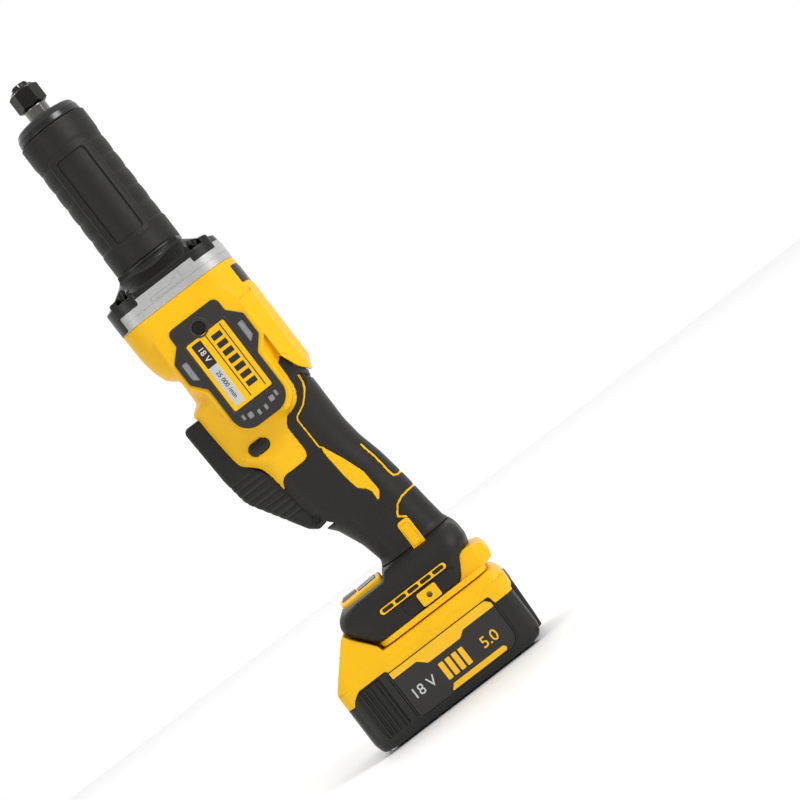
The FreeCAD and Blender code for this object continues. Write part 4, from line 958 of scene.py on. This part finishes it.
def lens(x, y, z):
    d = meet(rounded_rect(x + 15.0, y, 6.15, 9.15, 0.6), 0.9 * (z - bezel_top(x, y) - 0.25), 0.5)
    return meet(d, 83.15 - z, 0.2)


piece("display_window", lens, (-22, -9.8, 82.5), (-8, 9.8, 86.2), FINE,
      "lens", "display_lens")


# ---- battery pack
PACK_SIDE = Outline([
    (-58, 0, 5), (-64.5, 2.5, 4), (-67, 9, 8), (-67.1, 43.5, 0.8), (-45.6, 68.1, 1.6),
    (-43.4, 69.3, 0.4), (-40.9, 65.4, 0.3), (-33.8, 56.9, 0.3), (-30.4, 52.4, 0.3),
    (-29.8, 49.3, 1.0), (47, 49.4, 2.5), (50.5, 46.5, 2), (52.9, 42, 3), (52.4, 35.5, 1),
    (50.4, 33.8, 1), (50.1, 0, 10)])
REAR_RAIL = Outline([
    (44, 37.0, 0.5), (52.8, 37.0, 0.8), (52.8, 30, 5), (51.6, 5.4, 1.4), (44, 5.4, 0.5)], 0.3)
pack_y = profile([
    (0, 33.5), (2.5, 35.8), (8, 37.4), (42.4, 37.4), (49.4, 33.9), (70, 28.0)], 0.4)
SPLIT = Outline([
    (-80, -10, 0), (-80, 33.2, 0), (-61, 33.2, 1), (-60.4, 34.8, 1), (-58, 37.2, 3),
    (-54.5, 39.3, 3), (-36, 39.3, 1), (-34.5, 37.4, 1), (36.4, 37.4, 0.5), (37.6, 32.1, 0.5),
    (70, 32.1, 0), (70, -10, 0)])
LABEL = Outline([
    (-34.9, 6.2, 2), (36.2, 6.2, 8), (36.2, 37.3, 3), (-34.9, 37.3, 0.6)], 0.3)
GRIP_PAD = Outline([
    (-41.2, 6.5, 1), (-57.4, 6.5, 4), (-57.4, 37, 3), (-54.5, 38.6, 2), (-41.2, 38.6, 1)], 0.3)
GRIP_RIBS = [-42.9, -45.8, -48.9, -52.1, -55.2]


def pack_outer(x, y, z):
    """Both halves of the pack's case, without detail."""
    side = np.abs(y)
    width = pack_y(z)
    edge = np.interp(z, [15, 32, 49.4, 51.4], [5.0, 0.8, 0.8, 2.0])
    d = meet(PACK_SIDE(x, z), side - width, edge)
    corners = rounded_rect(x + 7.1, y, 60.1, np.maximum(width, 28) + 0.05, 11)
    return meet(d, corners, 2.0)


def pack_shell(x, y, z):
    """Outside of the case with its label border, crease and ribbed grip pads."""
    side = np.abs(y)
    d = pack_outer(x, y, z)
    label = LABEL(x, z)
    border = np.maximum(np.abs(label - 0.75) - 0.65, z - 36)
    d = join(d, np.maximum(border, np.maximum(side - 37.55, 36.0 - side)), 0.3)
    d = cut(d, label - 0.1, 37.1 - side, 0.3)
    crease = np.maximum(np.abs(z - 42.9) - 0.3, -(d + 0.45))
    d = carve(d, crease, 0.1)
    d = cut(d, GRIP_PAD(x, z), 36.3 - side, 0.3)
    for a in GRIP_RIBS:
        rib = np.maximum(np.abs(x - a) - 0.85, slab(z, 7.6, 37.8))
        d = join(d, np.maximum(rib, np.maximum(side - 37.4, 35.6 - side)), 0.3)
    return d


def pack_hollow(x, y, z):
    d = box_field(x, y, z, (-64.8, 50.6), (-35.2, 35.2), (2.4, 43.5), 6)
    deck = box_field(x, y, z, (-26, 46), (-30, 30), (42, 47.2), 1)
    return np.maximum(np.minimum(d, deck), PACK_SIDE(x, z) + 1.8)


def pack_lower(x, y, z):
    d = meet(pack_shell(x, y, z), SPLIT(x, z), 0.3)
    d = carve(d, pack_hollow(x, y, z), 0.3)
    rails = np.minimum(slab(np.abs(y), 8.4, 11.8), slab(np.abs(y), 23.6, 27.0))
    d = join(d, meet(REAR_RAIL(x, z), rails, 0.9), 0.5)
    for a in (-57.8, 43.8):
        for b in (-29.5, 29.5):
            d = cut(d, np.hypot(x - a, y - b) - 2.9, z - 2.0, 0.3)
    feet = np.maximum(np.abs(x + 7) - 40, np.abs(np.abs(y) - 22) - 2.0)
    return cut(d, feet, z - 0.5, 0.3)


piece("pack_case_lower", pack_lower, (-69, -39, -0.5), (54.5, 39, 40), STEP,
      "black_plastic", "pack_lower", "battery")

WINDOW = Outline([
    (-64, 44.8, 0), (-64, 52, 0), (-51.2, 63.3, 0), (-46, 59.5, 0), (-46, 54, 0),
    (-56.6, 44.8, 0)])
NOSE_ROOM = Outline([
    (-63, 45.6, 0), (-46.4, 64.2, 1), (-43.2, 64.2, 1), (-36, 55.9, 0), (-32, 51.6, 0),
    (-32, 45.6, 0)])


def pack_upper(x, y, z):
    side = np.abs(y)
    d = meet(pack_shell(x, y, z), -SPLIT(x, z) + 0.12, 0.35)
    neck = box_field(x, y, z, (-24.5, 28), (-NECK_HALF, NECK_HALF), (47, 59.8), 0.5)
    rails = box_field(x, y, z, (-24.5, 28), (-RAIL_HALF, RAIL_HALF), (56, 59.8), 0.6)
    d = np.minimum(d, np.minimum(neck, rails))
    d = carve(d, pack_hollow(x, y, z), 0.3)
    d = carve(d, meet(NOSE_ROOM(x, z), side - 26, 0.3), 0.3)
    d = carve(d, meet(WINDOW(x, z), side - 14.5, 0.8), 0.5)
    gate = box_field(x, y, z, (-45, -24.7), (-ARM_ROOM, ARM_ROOM), (51, 64.6), 0.2)
    d = carve(d, gate, 0.3)
    for i in range(5):
        b = 8.0 * (i - 2)
        slot = box_field(x, y, z, (12, 45), (b - 1.3, b + 1.3), (51.5, 58.8), 0.2)
        well = box_field(x, y, z, (9, 15), (b - 1.3, b + 1.3), (43, 58.8), 0.2)
        d = carve(d, np.minimum(slot, well), 0.2)
    gauge = box_field(x, y, z, (47.8, 60), (-6.3, 6.3), (35.7, 42.3), 0.8)
    return carve(d, gauge, 0.4)


piece("pack_case_upper", pack_upper, (-69, -39, 31), (54.5, 39, 70.5), STEP,
      "yellow_plastic", "pack_upper", "battery")

KEY = Outline([(-62, 49.3, 0.8), (-50.6, 62.3, 0.8), (-46.6, 59.4, 0.4), (-57, 49.3, 0.4)], 0.3)


def latch(x, y, z):
    """Ribbed key in the slope, with the arm and tooth that hold the pack."""
    side = np.abs(y)
    d = meet(KEY(x, z), side - 13.9, 0.7)
    along = (x + 62) * 0.66 + (z - 49.3) * 0.75
    ribs = 0.3 * np.clip(np.cos(along * 2 * math.pi / 2.6), 0, 1) * (side < 11)
    outward = np.clip((z - 49.3 - 1.14 * (x + 62) + 2.2) / 1.5, 0, 1)
    d = d + ribs * outward
    arm = box_field(x, y, z, (-54, -25.2), (-8, 8), (56.2, 59.6), 0.4)
    tooth = box_field(x, y, z, (-29.9, -25.2), (-8, 8), (59, 63.6), 0.5)
    return join(d, np.minimum(arm, tooth), 0.2)


piece("latch_key", latch, (-63, -15, 48.5), (-24.5, 15, 64.5), FINE + 0.1,
      "black_plastic", "latch_button", "latch")


# ---- flat graphics
NAMEPLATE_AT = 36.85            # |y| of the faces: nameplate, its print and its figures
PRINT_AT = 36.93
FIGURES_AT = 36.97
LABEL_AT = 37.35                # and the pack's label, print and figures
PACK_PRINT_AT = 37.40
PACK_FIGURES_AT = 37.42


def plate(name, corners, y, depth, sign, body_name, look="", slot="label", node=""):
    """Thin flat piece on a side face: corners are (x, z, radius)."""
    points = rounded_points(corners)
    count = len(points)
    verts = [(a, sign * y, b) for a, b in points] + [(a, sign * (y - depth), b) for a, b in points]
    faces = [list(range(count)), list(range(2 * count - 1, count - 1, -1))]
    for i in range(count):
        j = (i + 1) % count
        faces.append([i, i + count, j + count, j])
    ahead = np.roll(points, -1, 0)
    area = (points[:, 0] * ahead[:, 1] - ahead[:, 0] * points[:, 1]).sum()
    if (area > 0) != (sign < 0):
        faces = [face[::-1] for face in faces]
    dress(make_mesh(name, verts, faces), slot, body_name, node, look)


def rectangle(x0, x1, z0, z1, r):
    return [(x0, z0, r), (x1, z0, r), (x1, z1, r), (x0, z1, r)]


def lettering(name, text, height, centre, sign, body_name, look, upright=False):
    """Raised printed figures on a side face, reading towards the foot or, upright, level."""
    curve = bpy.data.curves.new(name, "FONT")
    curve.body = text
    curve.size = 0.001 * height / 0.72
    curve.align_x = curve.align_y = "CENTER"
    curve.extrude = curve.offset = 0.00004
    source = bpy.data.objects.new(name + "_curve", curve)
    bpy.context.scene.collection.objects.link(source)
    bpy.context.view_layer.update()
    mesh = bpy.data.meshes.new_from_object(source)
    bpy.data.objects.remove(source)
    along, up = ((-sign, 0, 0), (0, 0, 1)) if upright else ((0, 0, sign), (1, 0, 0))
    turn = Matrix((along, up, (0, sign, 0))).transposed().to_4x4()
    mesh.transform(Matrix.Translation(Vector(centre) * 0.001) @ turn)
    mesh.name = name
    thing = bpy.data.objects.new(name, mesh)
    bpy.context.scene.collection.objects.link(thing)
    dress(thing, "label", body_name, look=look)


for tag, sign in SIDES:
    plate("nameplate_face_" + tag, rectangle(-13.3, 13.3, 208.1, 254.4, 1.3), NAMEPLATE_AT, 0.4,
          sign, "housing", slot="yellow_plastic", node="nameplate_" + tag)
    graphics = [
        ("rule_upper", rectangle(9.75, 10.35, 210.2, 253.6, 0.1), "print_black"),
        ("rule_lower", rectangle(-0.7, -0.1, 210.2, 253.6, 0.1), "print_black"),
        ("rating_box", rectangle(-10.8, -4.3, 236.6, 252.6, 0.6), "print_black"),
        ("grey_box", rectangle(-10.8, -4.3, 210.4, 236.5, 0.6), "print_grey"),
    ]
    for i in range(7):
        start = 250.6 - 5.4 * i
        bar = rectangle(1.6, 8.1, start - 3.4, start, 0.2)
        graphics.append(("bar_%d" % i, bar, "print_black"))
    for label, corners, ink in graphics:
        plate("print_%s_%s" % (label, tag), corners, PRINT_AT, 0.1, sign, "housing", ink)
    lettering("figures_rating_" + tag, "18 V", 3.6, (-7.5, sign * FIGURES_AT, 244.6), sign,
              "housing", "print_white")
    lettering("figures_speed_" + tag, "25 000 /min", 2.7, (-7.5, sign * FIGURES_AT, 223.5), sign,
              "housing", "print_black")

    face = [(-34.8, 6.3, 1.9), (36.1, 6.3, 7.9), (36.1, 37.2, 2.9), (-34.8, 37.2, 0.5)]
    plate("pack_label_" + tag, face, LABEL_AT, 0.3, sign, "battery", node="pack_labels")
    band = [(-34.7, 37.1, 0.4), (-34.7, 33.2, 0.4), (-18, 33.2, 2), (-13, 28.6, 2),
            (10, 28.6, 2), (14, 31.6, 2), (36.0, 31.6, 0.4), (36.0, 34.2, 0.4),
            (33.2, 37.1, 2.6)]
    plate("pack_band_" + tag, band, PACK_PRINT_AT, 0.06, sign, "battery", "print_yellow")
    low_band = [(-11.5, 7.2, 0.4), (30.0, 7.2, 1.5), (26.5, 10.6, 1.0), (-8.5, 10.6, 1.0)]
    plate("pack_band_low_" + tag, low_band, PACK_PRINT_AT, 0.06, sign, "battery", "print_yellow")
    lettering("figures_volts_" + tag, "18 V", 6.4, (-23.4, sign * PACK_FIGURES_AT, 18.8), sign,
              "battery", "print_grey", True)
    lettering("figures_capacity_" + tag, "5.0", 6.8, (22.8, sign * PACK_FIGURES_AT, 18.2), sign,
              "battery", "print_yellow", True)
    for i in range(4):
        corners = rectangle(-9.4 + 4.6 * i, -6.2 + 4.6 * i, 13.4, 24.6, 0.5)
        plate("charge_bar_%d_%s" % (i, tag), corners, PACK_PRINT_AT, 0.06, sign, "battery",
              "print_yellow")


# ---- stage, light, camera
FLOOR_HALF = 2000.0
FLOOR_Z = -0.5
corners = ((-1, -1), (1, -1), (1, 1), (-1, 1))
corners = [(a * FLOOR_HALF, b * FLOOR_HALF, FLOOR_Z) for a, b in corners]
floor = make_mesh("floor", corners, [(0, 1, 2, 3)])
floor.data.materials.append(finish("floor_white", (0.94, 0.94, 0.94), 0.6, 0.03, tint=0.01))

# Bright sky behind and above the tool, dimmer on the camera's side.
world = bpy.data.worlds.new("studio")
bpy.context.scene.world = world
world.use_nodes = True
tree = world.node_tree
direction = tree.nodes.new("ShaderNodeTexCoord")
slope = tree.nodes.new("ShaderNodeVectorMath")
slope.operation = "DOT_PRODUCT"
slope.inputs[1].default_value = (0.0, 0.9, 1.0)
tree.links.new(direction.outputs["Generated"], slope.inputs[0])
level = range_node(tree, slope.outputs["Value"], 0.38, 1.0, -0.1, 0.7)
tree.links.new(level, tree.nodes["Background"].inputs["Strength"])
tree.nodes["Background"].inputs["Color"].default_value = (1.0, 1.0, 1.0, 1)


def soft_light(name, place, target, size, power):
    data = bpy.data.lights.new(name, "AREA")
    data.shape = "RECTANGLE"
    data.size, data.size_y = size
    data.energy = power
    lamp = bpy.data.objects.new(name, data)
    lamp.location = place
    direction = Vector(target) - Vector(place)
    lamp.rotation_euler = direction.to_track_quat("-Z", "Y").to_euler()
    bpy.context.scene.collection.objects.link(lamp)


centre = (0.0, 0.0, 0.2)
soft_light("key", (1.3, -1.3, 1.2), centre, (0.8, 0.8), 24)
soft_light("fill", (-1.3, -1.4, 0.2), centre, (0.8, 1.4), 7)
soft_light("rim", (-0.3, 1.4, 1.4), centre, (1.2, 1.0), 7)

camera_data = bpy.data.cameras.new("camera")
camera = bpy.data.objects.new("camera", camera_data)
camera_data.sensor_width = 36.0
camera_data.lens = 116.0
right_vector = Vector((0.7934, 0.0, -0.6088)).normalized()
up_vector = Vector((0.6088, 0.0, 0.7934)).normalized()
back_vector = right_vector.cross(up_vector)
turn = Matrix((right_vector, up_vector, back_vector)).transposed().to_4x4()
camera.matrix_world = Matrix.Translation((0.065, -1.5, 0.1566)) @ turn
bpy.context.scene.collection.objects.link(camera)
bpy.context.scene.camera = camera

bpy.context.scene.view_settings.view_transform = "Standard"
bpy.context.view_layer.update()
